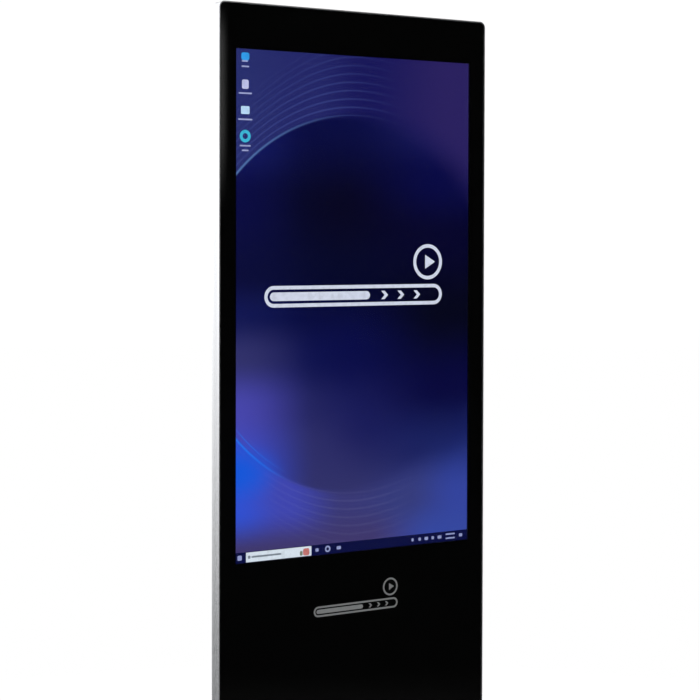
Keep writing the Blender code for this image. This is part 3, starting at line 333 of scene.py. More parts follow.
def pressed_sheet():
    """Bare aluminium sheet with rolling lines."""
    return grained("pressed_sheet", (0.5, 0.51, 0.52), (0.66, 0.67, 0.68), (60.0, 4.0), 0.00002,
                   (0.3, 0.45), stretch=(1.0, 40.0, 40.0), metallic=1.0)


def moulded_plastic():
    """Black plastic from a spark-textured mould."""
    return grained("moulded_plastic", (0.012, 0.012, 0.014), (0.024, 0.024, 0.026), (1800.0, 2.0, 0.6),
                   0.00005, (0.4, 0.52), slow=(30.0, 2.0))


def soft_rubber():
    made = Finish("soft_rubber")
    texture = made.noise(700.0, 3.0, 0.6)
    bloom = made.noise(40.0, 3.0)
    made.set(base_color=made.mix(made.smooth(bloom, 0.4, 0.75, 0.0, 0.6), (0.012, 0.012, 0.012),
                                 (0.03, 0.029, 0.028)),
             roughness=made.smooth(texture, 0.3, 0.7, 0.72, 0.9), specular_ior_level=0.35)
    return made.relief(texture, 0.00008).material


def solder_mask():
    """Green circuit board with lighter copper tracks under the mask."""
    made = Finish("solder_mask")
    brick = made.add("ShaderNodeTexBrick", offset=0.5)
    made.put(made.place, brick.inputs["Vector"])
    brick.inputs["Scale"].default_value = 90.0
    brick.inputs["Mortar Size"].default_value = 0.03
    track = brick.outputs["Fac"]
    base = made.mix(made.noise(400.0, 2.0), (0.008, 0.09, 0.04), (0.014, 0.12, 0.052))
    made.set(base_color=made.mix(track, base, (0.03, 0.22, 0.1)), roughness=0.32)
    return made.relief(track, 0.00004).material


def paper_cone():
    """Pressed paper with short fibres."""
    return grained("paper_cone", (0.03, 0.029, 0.028), (0.085, 0.082, 0.078), (900.0, 4.0, 0.7, 1.5),
                   0.0001, 0.85)


def gold_plate():
    """Thin gold on contacts, a little worn."""
    return grained("gold_plate", (0.9, 0.62, 0.22), (1.0, 0.76, 0.34), (800.0, 3.0), 0.00001, (0.18, 0.32),
                   metallic=1.0)


def lit(name, colour, strength=1.0):
    """Something that gives light, or a mark given a painted glow as if it did, which varies a little from
    place to place.
    """
    made = Finish(name)
    deeper = tuple(0.86 * part for part in colour)
    shade = made.mix(made.smooth(made.noise(90.0, 1.0), 0.25, 0.6), deeper, colour)
    return made.set(base_color=(0.0, 0.0, 0.0), roughness=0.6, specular_ior_level=0.2,
                    emission_color=shade, emission_strength=strength).material


PICTURE_STRENGTH = 1.09  # makes up for what the glass reflects
DISC_RADIUS = 0.6763 * PICTURE_WIDTH
PICTURE_EDGE = 0.0002  # half the width over which the picture's light ends


def wallpaper():
    """The lit picture: a large dark disc on a blue and violet ground, with ripples at its rim."""
    made = Finish("wallpaper")
    smooth, mix, times, ramp = made.smooth, made.mix, made.times, made.ramp
    x, _, z = made.axes(made.place)
    across = made.over(made.minus(x, PICTURE_LEFT), PICTURE_WIDTH)
    down = made.over(made.minus(PICTURE_TOP, z), PICTURE_HEIGHT)

    left = ramp(down, (0.18, 20, 26, 98), (0.28, 10, 11, 68), (0.44, 10, 12, 58), (0.52, 18, 23, 84),
                (0.6, 51, 51, 110), (0.7, 74, 72, 176), (0.84, 60, 80, 210), (0.98, 64, 66, 142))
    middle = ramp(down, (0.12, 9, 12, 68), (0.3, 6, 5, 34), (0.44, 5, 7, 42), (0.6, 10, 13, 74),
                  (0.74, 27, 29, 93), (0.92, 56, 56, 112))
    right = ramp(down, (0.14, 22, 24, 90), (0.24, 8, 9, 70), (0.36, 6, 5, 44), (0.52, 4, 5, 27),
                 (0.68, 8, 8, 62), (0.8, 26, 34, 98), (0.92, 56, 64, 140))
    veil = ramp(down, (0.15, 9, 11, 66), (0.3, 6, 7, 42), (0.44, 7, 9, 50), (0.52, 8, 12, 66),
                (0.61, 18, 22, 84), (0.7, 38, 39, 100), (0.78, 48, 48, 108), (0.98, 57, 57, 112))
    slanted = made.plus(across, smooth(down, 0.5, 0.9, 0.07, -0.09))
    inside = mix(smooth(across, 0.0, 0.34), left, veil)
    inside = mix(smooth(slanted, 0.22, 0.52), inside, middle)
    inside = mix(smooth(across, 0.44, 0.88), inside, right)

    upper = ramp(across, (0.0, 42, 48, 112), (0.3, 37, 40, 106), (0.55, 25, 24, 91), (0.92, 44, 34, 98))
    lower = ramp(across, (0.0, 50, 82, 214), (0.2, 66, 72, 180), (0.45, 60, 59, 122), (0.72, 56, 62, 128),
                 (0.96, 54, 70, 162))
    lowest = mix(smooth(across, 0.55, 0.85), srgb(66, 58, 112), srgb(56, 74, 164))
    lower = mix(smooth(down, 0.98, 0.9), lowest, lower)
    lower = mix(times(smooth(down, 0.9, 0.75), smooth(across, 0.7, 0.92)), lower, srgb(20, 29, 94))
    outside = mix(smooth(down, 0.35, 0.65), upper, lower)

    past = made.minus(made.away(x, made.minus(z, PICTURE_MIDDLE)), DISC_RADIUS)
    softness = smooth(across, 0.3, 0.9, 0.006, 0.045)
    ground = mix(smooth(past, times(softness, -1.0), softness), inside, outside)

    # ripples: level with the disc's rim, closer together towards the left, gone before the right edge
    step = made.over(past, smooth(across, 0.0, 0.5, 0.0105, 0.0158))
    crest = smooth(made.math("PINGPONG", step, 0.5), 0.17, 0.0)
    ripple = times(crest, smooth(step, 13.0, 1.0), smooth(past, -0.001, 0.001))
    high = times(ripple, smooth(across, 0.78, 0.3), smooth(down, 0.34, 0.22), 0.24)
    low = times(ripple, smooth(across, 0.85, 0.55), smooth(down, 0.72, 0.82), 0.07)
    ground = mix(high, ground, srgb(92, 110, 190))
    ground = mix(low, ground, srgb(150, 150, 200))

    # the brightest line is the rim itself, at the upper left
    line = smooth(made.math("ABSOLUTE", past), 0.0036, 0.0)
    rim = times(line, smooth(across, 0.5, -0.25), smooth(down, 0.32, 0.24))
    ground = mix(rim, ground, srgb(96, 134, 196))

    # an azure glow with a sharp double arc, low at the left edge
    spread = made.away(made.over(across, 0.17), made.over(made.minus(down, 0.825), 0.055))
    ground = mix(smooth(spread, 1.3, 0.1, 0.0, 0.95), ground, srgb(22, 90, 224))
    inner_line = smooth(made.math("ABSOLUTE", made.plus(past, 0.012)), 0.0022, 0.0)
    arc = times(made.math("MAXIMUM", times(line, 0.8), times(inner_line, 0.5)), smooth(across, 0.24, 0.02),
                smooth(down, 0.72, 0.76))
    ground = mix(arc, ground, srgb(30, 118, 244))

    edges = [smooth(value, limit - inward * PICTURE_EDGE, limit + inward * PICTURE_EDGE)
             for value, limit, inward in ((x, PICTURE_LEFT, 1), (x, PICTURE_RIGHT, -1),
                                          (z, PICTURE_BOTTOM, 1), (z, PICTURE_TOP, -1))]
    return made.set(base_color=(0.001, 0.001, 0.0015), roughness=0.25, specular_ior_level=0.04,
                    emission_color=mix(times(*edges), (0.0, 0.0, 0.0), ground),
                    emission_strength=PICTURE_STRENGTH).material


# ---- mesh tools
SHARP_ANGLE = radians(35.0)


def add_object(name, data):
    made = bpy.data.objects.new(name, data)
    bpy.context.scene.collection.objects.link(made)
    return made


def piece(name, shape, look, body="root"):
    """Makes an object from a bmesh that is drawn in the frame's own metres, and fixes it to a body.

    look is its material, and the record's slot that this stands for, which is not used.
    """
    finish, slot = look
    bmesh.ops.recalc_face_normals(shape, faces=shape.faces)
    data = bpy.data.meshes.new(name)
    shape.to_mesh(data)
    shape.free()
    data.materials.append(finish)
    data.shade_smooth()
    data.set_sharp_from_angle(angle=SHARP_ANGLE)
    made = add_object(name, data)
    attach(made, body)
    return made


def centre_of(node):
    """The lowest corner, highest corner and centre of a CAD node."""
    low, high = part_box(node)
    return low, high, (low + high) / 2


def turns(steps):
    return [tau * i / steps for i in range(steps)]


def polar(centre, radius, turn):
    return centre[0] + radius * cos(turn), centre[1] + radius * sin(turn)


def rounded(low, high, radius, steps):
    """Points round a rectangle between two corners, with round corners."""
    corners = ((high[0] - radius, high[1] - radius, 0), (low[0] + radius, high[1] - radius, 90),
               (low[0] + radius, low[1] + radius, 180), (high[0] - radius, low[1] + radius, 270))
    points = []
    for u, v, first in corners:
        for step in range(steps + 1):
            points.append(polar((u, v), radius, radians(first + 90.0 * step / steps)))
    return points


def grown(low, high, by, radius, steps):
    """A rounded rectangle that stands out from two corners by that much, or in where it's negative."""
    return rounded((low[0] - by, low[1] - by), (high[0] + by, high[1] + by), radius, steps)


def circle(centre, radius, steps, notch=0.0):
    """Points round a circle. notch pulls every second one in."""
    return [polar(centre, radius - notch * (i % 2), turn) for i, turn in enumerate(turns(steps))]


def join_loops(shape, loops, ring=False, caps=True):
    """Faces between each loop of vertices and the next. A ring goes back to its first loop."""
    for near, far in zip(loops, loops[1:] + loops[:1] if ring else loops[1:]):
        for i in range(len(near)):
            j = (i + 1) % len(near)
            shape.faces.new((near[i], near[j], far[j], far[i]))
    if caps and not ring:
        shape.faces.new(loops[0][::-1])
        shape.faces.new(loops[-1])


def add_rows(shape, rows, ring=False, caps=True):
    """A body whose rows are (outline in X and Z, Y)."""
    join_loops(shape, [[shape.verts.new((x, y, z)) for x, z in outline] for outline, y in rows], ring, caps)


def add_flat(shape, outline, low, high):
    """A plate drawn in X and Z, from Y = low to Y = high."""
    add_rows(shape, [(outline, low), (outline, high)])


def add_flat_ring(shape, outer, inner, low, high):
    """A plate with one hole. Both outlines have the same number of points."""
    add_rows(shape, [(outer, low), (inner, low), (inner, high), (outer, high)], ring=True)


def add_outlines(shape, outlines, low, high):
    """Plates given as (outline, hole or None)."""
    for outline, hole in outlines:
        if hole:
            add_flat_ring(shape, outline, hole, low, high)
        else:
            add_flat(shape, outline, low, high)


# ---- glass and picture
GLASS_CORNER = 0.0095
GLASS_INSET = 0.0006  # between the edge of the glass and its print
PRINT_Y = GLASS_HIGH.y - 0.00006  # the print lies just inside the back of the glass
PRINT_THICKNESS = 0.00004


def make_glass():
    outer = grown(GLASS_LOW.xz, GLASS_HIGH.xz, -GLASS_INSET, GLASS_CORNER - GLASS_INSET, 8)
    inner = grown((PICTURE_LEFT, PICTURE_BOTTOM), (PICTURE_RIGHT, PICTURE_TOP), 0.0005, 0.0008, 8)
    shape = bmesh.new()
    add_flat_ring(shape, outer, inner, PRINT_Y - PRINT_THICKNESS, PRINT_Y)
    piece("glass_print_border", shape, (black_print(), "front_glass"))


def mark_outlines(low, high):
    """A plain mark: a slider track with its fill and three chevrons, and above it a ring round a play sign.

    low and high are the corners of the track. Gives (outline, hole or None) pairs.
    """
    tall = high[1] - low[1]
    stroke = 0.17 * tall
    gap = 0.3 * tall
    reach = 0.2 * tall
    middle = (low[1] + high[1]) / 2
    half = tall / 2 - 1e-5
    shapes = [(rounded(low, high, half, 10), grown(low, high, -stroke, half - stroke, 10))]
    fill_end = low[0] + 0.58 * (high[0] - low[0])
    shapes.append((rounded((low[0] + gap, low[1] + gap), (fill_end, high[1] - gap), half - gap, 10), None))
    for number in range(3):
        x = fill_end + tall * (0.65 + 0.95 * number)
        chevron = ((0, 1), (1, 0), (0, -1), (1, -1), (2, 0), (1, 1))
        shapes.append(([(x + reach * u, middle + reach * v) for u, v in chevron], None))
    ring = 0.86 * tall
    centre = (high[0] - ring, high[1] + 0.22 * tall + ring)
    shapes.append((circle(centre, ring, 48), circle(centre, ring - stroke, 48)))
    shapes.append((circle((centre[0] + 0.05 * ring, centre[1]), 0.46 * ring, 3), None))
    return shapes


def on_picture(right, down):
    """A point given in metres from the picture's top left corner."""
    return PICTURE_LEFT + right, PICTURE_TOP - down


def spot(right, down, width, height, radius):
    """A rounded rectangle around a point of the picture, without a hole."""
    x, z = on_picture(right, down)
    return rounded((x - width / 2, z - height / 2), (x + width / 2, z + height / 2), radius, 4), None


def band(right, down, outer, inner, steps):
    """A ring around a point of the picture."""
    centre = on_picture(right, down)
    return circle(centre, outer, steps), circle(centre, inner, steps)


DRAWN_LAYER = 0.00006


def draw(name, colour, *outlines, layer=1):
    """Lit shapes on the picture, in a thin layer just in front of the panel."""
    shape = bmesh.new()
    back = CELL_FRONT_Y - DRAWN_LAYER * (2 * layer - 1)
    add_outlines(shape, outlines, back - DRAWN_LAYER, back)
    piece("picture_" + name, shape, (lit("picture_" + name, srgb(*colour), PICTURE_STRENGTH), "display"))


ICONS_X = 0.0198
BAR_HEIGHT = 0.0196


def make_picture():
    """The touch mark, four icons with their labels, and a bar with a search box and small marks."""
    draw("touch_mark", (216, 221, 240), *mark_outlines(on_picture(0.061, 0.4735), on_picture(0.466, 0.4335)))
    draw("icon_sky", (52, 160, 240), spot(ICONS_X, 0.0137, 0.017, 0.014, 0.004))
    draw("icon_lilac", (196, 198, 240), spot(ICONS_X, 0.0645, 0.014, 0.017, 0.003))
    draw("icon_pale", (190, 224, 255), spot(ICONS_X, 0.1115, 0.018, 0.0145, 0.002))
    draw("icon_teal", (64, 186, 222), band(ICONS_X, 0.159, 0.0115, 0.0055, 32))

    labels = [(0.032, 0.016), (0.0808, 0.028), (0.1285, 0.03), (0.1765, 0.023), (0.185, 0.014)]
    draw("labels", (158, 164, 212), spot(ICONS_X - 0.001, 0.0222, 0.013, 0.003, 0.001),
         *(spot(ICONS_X, down, width, 0.0029, 0.0012) for down, width in labels))

    bar = rounded((PICTURE_LEFT, PICTURE_BOTTOM), (PICTURE_RIGHT, PICTURE_BOTTOM + BAR_HEIGHT), 0.0003, 2)
    draw("taskbar", (13, 17, 66), (bar, None))
    middle = PICTURE_HEIGHT - BAR_HEIGHT / 2
    draw("search_box", (222, 232, 244), spot(0.0935, middle + 0.0002, 0.142, 0.018, 0.0008), layer=2)
    marks = [(0.177, 0.0085), (0.226, 0.0115), (0.3975, 0.006), (0.4145, 0.007), (0.4305, 0.01),
             (0.446, 0.007), (0.4625, 0.011), (0.514, 0.0095)]
    draw("taskbar_marks", (150, 158, 206), spot(0.009, middle, 0.0092, 0.0092, 0.002),
         *(spot(right, middle, 0.85 * width, 0.0062, 0.0016) for right, width in marks),
         *(spot(0.4885, middle + lift, 0.0225, 0.003, 0.001) for lift in (-0.004, 0.004)),
         band(0.201, middle, 0.0062, 0.003, 24), layer=2)
    draw("search_line", (128, 138, 150), spot(0.066, middle, 0.064, 0.0034, 0.001),
         spot(0.0292, middle, 0.006, 0.006, 0.0025), layer=3)
    draw("search_tile_red", (204, 120, 116), spot(0.153, middle + 0.0012, 0.014, 0.0135, 0.004), layer=3)
    draw("search_tile_green", (120, 128, 112), spot(0.142, middle + 0.003, 0.006, 0.0085, 0.002), layer=3)


PRINTED_MARK_SIZE = (0.192, 0.02)
PRINTED_MARK_DROP = 0.107  # from the picture's lower edge to the middle of the mark's track


def make_printed_mark():
    """The grey mark on the glass below the screen."""
    right = PRINTED_MARK_SIZE[0] / 2
    middle = PICTURE_BOTTOM - PRINTED_MARK_DROP
    half = PRINTED_MARK_SIZE[1] / 2
    mark = mark_outlines((-right, middle - half), (right, middle + half))
    front = PRINT_Y - PRINT_THICKNESS - DRAWN_LAYER
    shape = bmesh.new()
    add_outlines(shape, mark, front, front + PRINT_THICKNESS)
    piece("glass_printed_mark", shape, (grey_print(), "front_glass"))


# ---- solid shapes for the small pieces
def add_turned(shape, origin, direction, rows, steps=24, ring=False):
    """A turned body. rows are (how far along, radius), with a third number for a section with sides."""
    origin = Vector(origin)
    along = Vector(direction).normalized()
    side = along.orthogonal().normalized()
    other = along.cross(side)
    loops = []
    for distance, radius, *sides in rows:
        loop = []
        for turn in turns(steps):
            reach = radius
            if sides:
                wedge = tau / sides[0]
                reach *= cos(wedge / 2) / cos(turn % wedge - wedge / 2)
            spoke = side * cos(turn) + other * sin(turn)
            loop.append(shape.verts.new(origin + along * distance + spoke * reach))
        loops.append(loop)
    join_loops(shape, loops, ring)


def add_ring(shape, origin, radius, middle_radius, sides, steps):
    """A ring with a round section, which faces backward."""
    rows = [(radius * sin(turn), middle_radius + radius * cos(turn)) for turn in turns(sides)]
    add_turned(shape, origin, BACKWARD, rows, steps, ring=True)


def add_block(shape, x, z, width, height, front, back, bevel=0.0003, segments=2):
    """A box with rounded edges around a point in X and Z, between two Ys."""
    size = (width, back - front, height)
    place = Matrix.Translation((x, (front + back) / 2, z)) @ Matrix.Diagonal((*size, 1.0))
    made = bmesh.ops.create_cube(shape, size=1.0, matrix=place)
    edges = {edge for vertex in made["verts"] for edge in vertex.link_edges}
    bmesh.ops.bevel(shape, geom=list(edges), offset=min(bevel, min(size) * 0.45), segments=segments,
                    profile=0.5, affect="EDGES")


def add_tube(shape, points, radius, steps):
    """A round tube through points, closed at both ends."""
    points = [Vector(point) for point in points]
    loops = []
    side = None
    for before, point, after in zip(points[:1] + points, points, points[1:] + points[-1:]):
        ahead = (after - before).normalized()
        side = ahead.orthogonal() if side is None else side - ahead * side.dot(ahead)
        side.normalize()
        other = ahead.cross(side)
        loops.append([shape.verts.new(point + radius * (side * cos(turn) + other * sin(turn)))
                      for turn in turns(steps)])
    join_loops(shape, loops)


def add_screw(shape, place, radius, height, direction=BACKWARD):
    """A pan head with a hexagonal recess."""
    recess = 0.5 * radius
    add_turned(shape, place, direction, [
        (0.0, radius), (0.35 * height, radius), (0.75 * height, 0.86 * radius), (height, 0.62 * radius),
        (height, recess * 1.08, 6), (0.9 * height, recess, 6), (0.3 * height, recess, 6),
        (0.22 * height, 0.0005 * radius)])


def add_perforated(shape, low, high, front, back, columns, rows, hole):
    """A sheet drawn in X and Z with rows of round holes. front and back are its Y faces."""
    wide = (high[0] - low[0]) / columns
    tall = (high[1] - low[1]) / rows
    border = ((1, 0), (1, 1), (0, 1), (-1, 1), (-1, 0), (-1, -1), (0, -1), (1, -1))
    for column in range(columns):
        for row in range(rows):
            x = low[0] + wide * (column + 0.5)
            z = low[1] + tall * (row + 0.5)
            edge = [(x + wide / 2 * u, z + tall / 2 * v) for u, v in border]
            rim = circle((x, z), hole, len(border))
            add_rows(shape, [(edge, front), (rim, front), (rim, back), (edge, back)], caps=False)
    bmesh.ops.remove_doubles(shape, verts=shape.verts, dist=0.00001)
    bmesh.ops.bridge_loops(shape, edges=[edge for edge in shape.edges if edge.is_boundary])


# ---- cover, door and lock
RIM_BACK_Y = SIDE_HIGH.y - 0.0005  # the cover's rim lies just inside the frame's back edge
RIM_SCREW_X = COVER_HIGH.x - 0.0047
RIM_SCREW = (0.0033, 0.0018)  # radius and height of the head
RIM_SCREW_ROWS = 7
DOOR_EDGE_GAP = 0.002
GASKET_WALL = 0.0012
HINGE_LEAF_HEIGHT = 0.018
HINGE_LEAF_THICKNESS = 0.0018
HINGE_PIN_OUT = 0.0038  # from the back of the cover to the middle of the pin
DOOR_INNER_Y = BACK_Y - 0.0015
COLLAR_TEETH = 48


def make_cover_screws(steel):
    """The screws that hold the cover's rim to the frame."""
    low = COVER_LOW.z + 0.07
    step = (COVER_HIGH.z - 0.07 - low) / (RIM_SCREW_ROWS - 1)
    places = [(x, low + step * row) for row in range(RIM_SCREW_ROWS) for x in (-RIM_SCREW_X, RIM_SCREW_X)]
    places += [(x, COVER_HIGH.z - 0.0045) for x in (-0.2, 0.0, 0.2)]
    shape = bmesh.new()
    for x, z in places:
        add_screw(shape, (x, RIM_BACK_Y, z), *RIM_SCREW)
    piece("cover_rim_screws", shape, steel)


def make_door_gasket(rubber):
    """A rubber edging round the doorway, with a rolled lip, which the closed door sits inside."""
    outer, inner, lip = (grown(DOOR_LOW.xz, DOOR_HIGH.xz, DOOR_EDGE_GAP - inset, 0.0004, 3)
                         for inset in (0.0, GASKET_WALL, 0.6 * GASKET_WALL))
    shape = bmesh.new()
    add_rows(shape, [(outer, BACK_Y - 0.0075), (inner, BACK_Y - 0.0075), (inner, BACK_Y - 0.003),
                     (lip, BACK_Y - 0.0018), (outer, BACK_Y - 0.0018)], ring=True)
    piece("doorway_gasket", shape, rubber)


def make_hinge_screws(steel):
    """Two screws in each leaf, and a turned cap on each end of each pin."""
    for level in ("lower", "upper"):
        for part, body in (("base", "root"), ("leaf", "door")):
            low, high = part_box("hinge_" + part + "_" + level)
            at_base = part == "base"
            x = low.x + 0.0055 if at_base else high.x - 0.0055
            shape = bmesh.new()
            for lift in (-0.005, 0.005):
                place = (x, BACK_Y + HINGE_LEAF_THICKNESS - 0.0002, low.z + HINGE_LEAF_HEIGHT / 2 + lift)
                add_screw(shape, place, 0.0024, 0.001)
            out = -1 if at_base else 1
            end = (low if at_base else high).z - 0.0001 * out
            add_turned(shape, (DOOR_LOW.x - DOOR_EDGE_GAP, BACK_Y + HINGE_PIN_OUT, end), (0, 0, out), [
                (0.0, 0.0029), (0.0006, 0.0029), (0.0011, 0.0022), (0.0013, 0.001)])
            piece("hinge_" + part + "_" + level + "_screws", shape, steel, body)


def make_lock_detail(steel, dark):
    """A knurled collar round the lock's face and a dust shutter in its keyway."""
    _, _, (x, _, z) = centre_of("lock_housing")
    front = BACK_Y + 0.0003
    shape = bmesh.new()
    knurl = circle((x, z), 0.0108, 2 * COLLAR_TEETH, -0.0004)
    add_flat_ring(shape, knurl, circle((x, z), 0.0103, 2 * COLLAR_TEETH), front, front + 0.0013)
    add_ring(shape, (x, front + 0.0018, z), 0.0003, 0.0082, 8, 40)
    piece("lock_collar", shape, steel, "door")
    shape = bmesh.new()
    add_block(shape, x, z, 0.0009, 0.0058, front - 0.0015, front + 0.0002, 0.0002)
    piece("lock_dust_shutter", shape, dark, "lock")


def make_door_inside(rubber, steel, sheet):
    """Behind the door: two stiffening channels, an earth stud and bump stops."""
    shape = bmesh.new()
    for z in (DOOR_LOW.z + 0.085, DOOR_HIGH.z - 0.085):
        section = [(-0.011, 0.0), (-0.007, 0.004), (0.007, 0.004), (0.011, 0.0)]
        join_loops(shape, [[shape.verts.new((x, DOOR_INNER_Y - deep, z + rise)) for rise, deep in section]
                           for x in (DOOR_LOW.x + 0.03, DOOR_HIGH.x - 0.06)])
    piece("door_stiffeners", shape, sheet, "door")
    shape = bmesh.new()
    for z in (DOOR_LOW.z + 0.02, DOOR_HIGH.z - 0.02):
        add_turned(shape, (DOOR_HIGH.x - 0.016, DOOR_INNER_Y, z), FORWARD, [
            (0.0, 0.005), (0.0025, 0.0048), (0.0038, 0.0038), (0.0043, 0.002)])
    piece("door_bump_stops", shape, rubber, "door")
    shape = bmesh.new()
    add_turned(shape, (DOOR_LOW.x + 0.022, DOOR_INNER_Y, DOOR_LOW.z + 0.03), FORWARD, [
        (0.0, 0.006), (0.0008, 0.006), (0.0008, 0.0046, 6), (0.003, 0.0046, 6), (0.0034, 0.004),
        (0.0034, 0.002), (0.0052, 0.002), (0.0056, 0.0014)])
    piece("door_earth_stud", shape, steel, "door")


# ---- vents, fans and speakers
FILTER_SIZE = (0.16, 0.056)
FAN_BLADES = 7
FAN_HUB_RADIUS = 0.012
FAN_TIP_RADIUS = 0.0273
BLADE_SPANS = 7
BLADE_CHORDS = 6
BLADE_THICKNESS = 0.0008
GUARD_WIRE = 0.0007
GUARD_OUT = 0.0012  # how far the guard's wires stand off the fan's frame
CONE_THICKNESS = 0.0003


def make_dust_filter(dark):
    """A net of plastic behind the intake slots, which are level with the power inlet."""
    middle = centre_of("power_inlet")[2].z
    right, half = FILTER_SIZE[0] / 2, FILTER_SIZE[1] / 2
    shape = bmesh.new()
    add_perforated(shape, (-right, middle - half), (right, middle + half), BACK_Y - 0.003, BACK_Y - 0.0019,
                   50, 18, 0.00115)
    piece("intake_dust_filter", shape, dark)


def blade_row(shape, x, z, low_y, depth, first, out):
    """The section of a swept, twisted fan blade. out goes from 0 at the hub to 1 at the tip."""
    radius = FAN_HUB_RADIUS - 0.0006 + (FAN_TIP_RADIUS - FAN_HUB_RADIUS) * out
    row = []
    for face in (1, -1):
        for chord in range(BLADE_CHORDS + 1):
            part = chord / BLADE_CHORDS if face > 0 else 1 - chord / BLADE_CHORDS
            u, v = polar((x, z), radius, first + 0.34 * out * out + (0.4 + 0.06 * out) * (part - 0.5))
            curve = 0.0011 * sin(pi * part)
            rise = low_y + 0.0012 + (depth - 0.0026) * part * (1.0 - 0.12 * out) + curve
            row.append(shape.verts.new((u, rise + face * BLADE_THICKNESS / 2, v)))
    return row


def make_fan(side, body, plastic, steel):
    """A rotor with swept, twisted blades in place of the plain one, its hub disc and a finger guard."""
    low, high, (x, _, z) = centre_of("fan_rotor_" + side)
    depth = high.y - low.y
    hub = FAN_HUB_RADIUS
    shape = bmesh.new()
    add_turned(shape, (x, low.y, z), BACKWARD, [
        (0.0, hub), (depth - 0.0012, hub), (depth - 0.0003, hub - 0.001), (depth, hub - 0.0026),
        (depth, 0.007), (depth - 0.0005, 0.0066), (depth - 0.0005, 0.001)], 40)
    for first in turns(FAN_BLADES):
        join_loops(shape, [blade_row(shape, x, z, low.y, depth, first, span / BLADE_SPANS)
                           for span in range(BLADE_SPANS + 1)])
    rotor = piece("fan_rotor_" + side + "_swept", shape, plastic, body)
    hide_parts("fan_rotor_" + side)
    shape = bmesh.new()
    add_turned(shape, (x, high.y - 0.0005, z), BACKWARD, [
        (0.0, 0.0064), (0.0002, 0.0064), (0.00025, 0.003), (0.0004, 0.0012), (0.0005, 0.0004)])
    piece("fan_hub_disc_" + side, shape, steel, body)
    frame_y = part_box("fan_frame_" + side)[0].y
    shape = bmesh.new()
    for dx in (-0.025, 0.025):
        for dz in (-0.025, 0.025):
            add_screw(shape, (x + dx, frame_y, z + dz), 0.0032, 0.0018, FORWARD)
    for radius in (0.0155, 0.0205, 0.0255):
        add_ring(shape, (x, frame_y - GUARD_OUT, z), GUARD_WIRE, radius, 8, 48)
    for turn in turns(4):
        spoke = [polar((x, z), out, turn + pi / 4) for out in (0.015, 0.026, 0.0345)]
        add_tube(shape, [(u, frame_y - GUARD_OUT, v) for u, v in spoke], GUARD_WIRE, 8)
    piece("fan_finger_guard_" + side, shape, steel)


def make_speaker(side, cone, rubber):
    """A paper cone with ribs, a rolled rubber surround and a dust cap."""
    _, high, (x, _, z) = centre_of("speaker_" + side)
    shape = bmesh.new()
    add_ring(shape, (x, high.y - 0.0018, z), 0.0016, 0.0192, 12, 48)
    piece("speaker_surround_" + side, shape, rubber)
    rows = []
    for number in range(13):
        part = number / 12
        ripple = 0.00015 * cos(tau * part * 5)
        rows.append((-0.002 - 0.0062 * part + ripple, 0.0182 - 0.0085 * part))
    back = [(along - CONE_THICKNESS, radius) for along, radius in reversed(rows)]
    cap = [(-0.0082 + 0.0032 * sin(turn), 0.0097 * cos(turn)) for turn in turns(24)[:6]]
    shape = bmesh.new()
    add_turned(shape, (x, high.y, z), BACKWARD, rows + back, 48, ring=True)
    add_turned(shape, (x, high.y, z), BACKWARD, [(-0.0086, 0.0097)] + cap, 40)
    piece("speaker_cone_" + side, shape, cone)


# ---- sockets
ROCKER_TILT = radians(12.0)
MARK_DEEP, MARK_PROUD = -0.0002, 0.00012  # how far the marks go into the rocker's face and out of it
PORTS = ((-0.022, 0.012, 0.0085), (0.0, 0.0133, 0.0056), (0.022, 0.0133, 0.0056))  # X, width, height
SHELL_WALL = 0.0004


def make_inlet_detail(steel, pale):
    """Metal sleeves on the three pins, solder tags behind, and the on and off marks of the rocker."""
    low, high, (x, _, middle) = centre_of("power_inlet")
    z = middle - 0.012
    shape = bmesh.new()
    for pin_x, pin_z in ((-0.007, -0.002), (0.0, 0.002), (0.007, -0.002)):
        add_block(shape, x + pin_x, z + pin_z, 0.0023, 0.0043, high.y - 0.0165, high.y - 0.0047, 0.0007, 3)
        add_block(shape, x + pin_x, z + pin_z, 0.0006, 0.0048, low.y - 0.007, low.y + 0.001, 0.0002)
    piece("power_inlet_pins", shape, steel)
    shape = bmesh.new()

    def on_rocker(across, up, out):
        """A vertex over the rocker's hollow face, which tilts about its pivot."""
        out += 0.0014 + 0.0016 * abs(up) / 0.0083
        return shape.verts.new((x + across,
                                BACK_Y + 0.0005 + out * cos(ROCKER_TILT) - up * sin(ROCKER_TILT),
                                middle + 0.011 + out * sin(ROCKER_TILT) + up * cos(ROCKER_TILT)))

    bar = ((-0.0003, 0.0034), (0.0003, 0.0034), (0.0003, 0.0062), (-0.0003, 0.0062))
    join_loops(shape, [[on_rocker(across, up, out) for across, up in bar] for out in (MARK_DEEP, MARK_PROUD)])
    join_loops(shape, [[on_rocker(across, up, out) for across, up in circle((0.0, -0.0048), radius, 24)]
                       for radius, out in ((0.0017, MARK_DEEP), (0.0017, MARK_PROUD), (0.0011, MARK_PROUD),
                                           (0.0011, MARK_DEEP))], ring=True)
    piece("rocker_on_off_marks", shape, pale, "rocker")


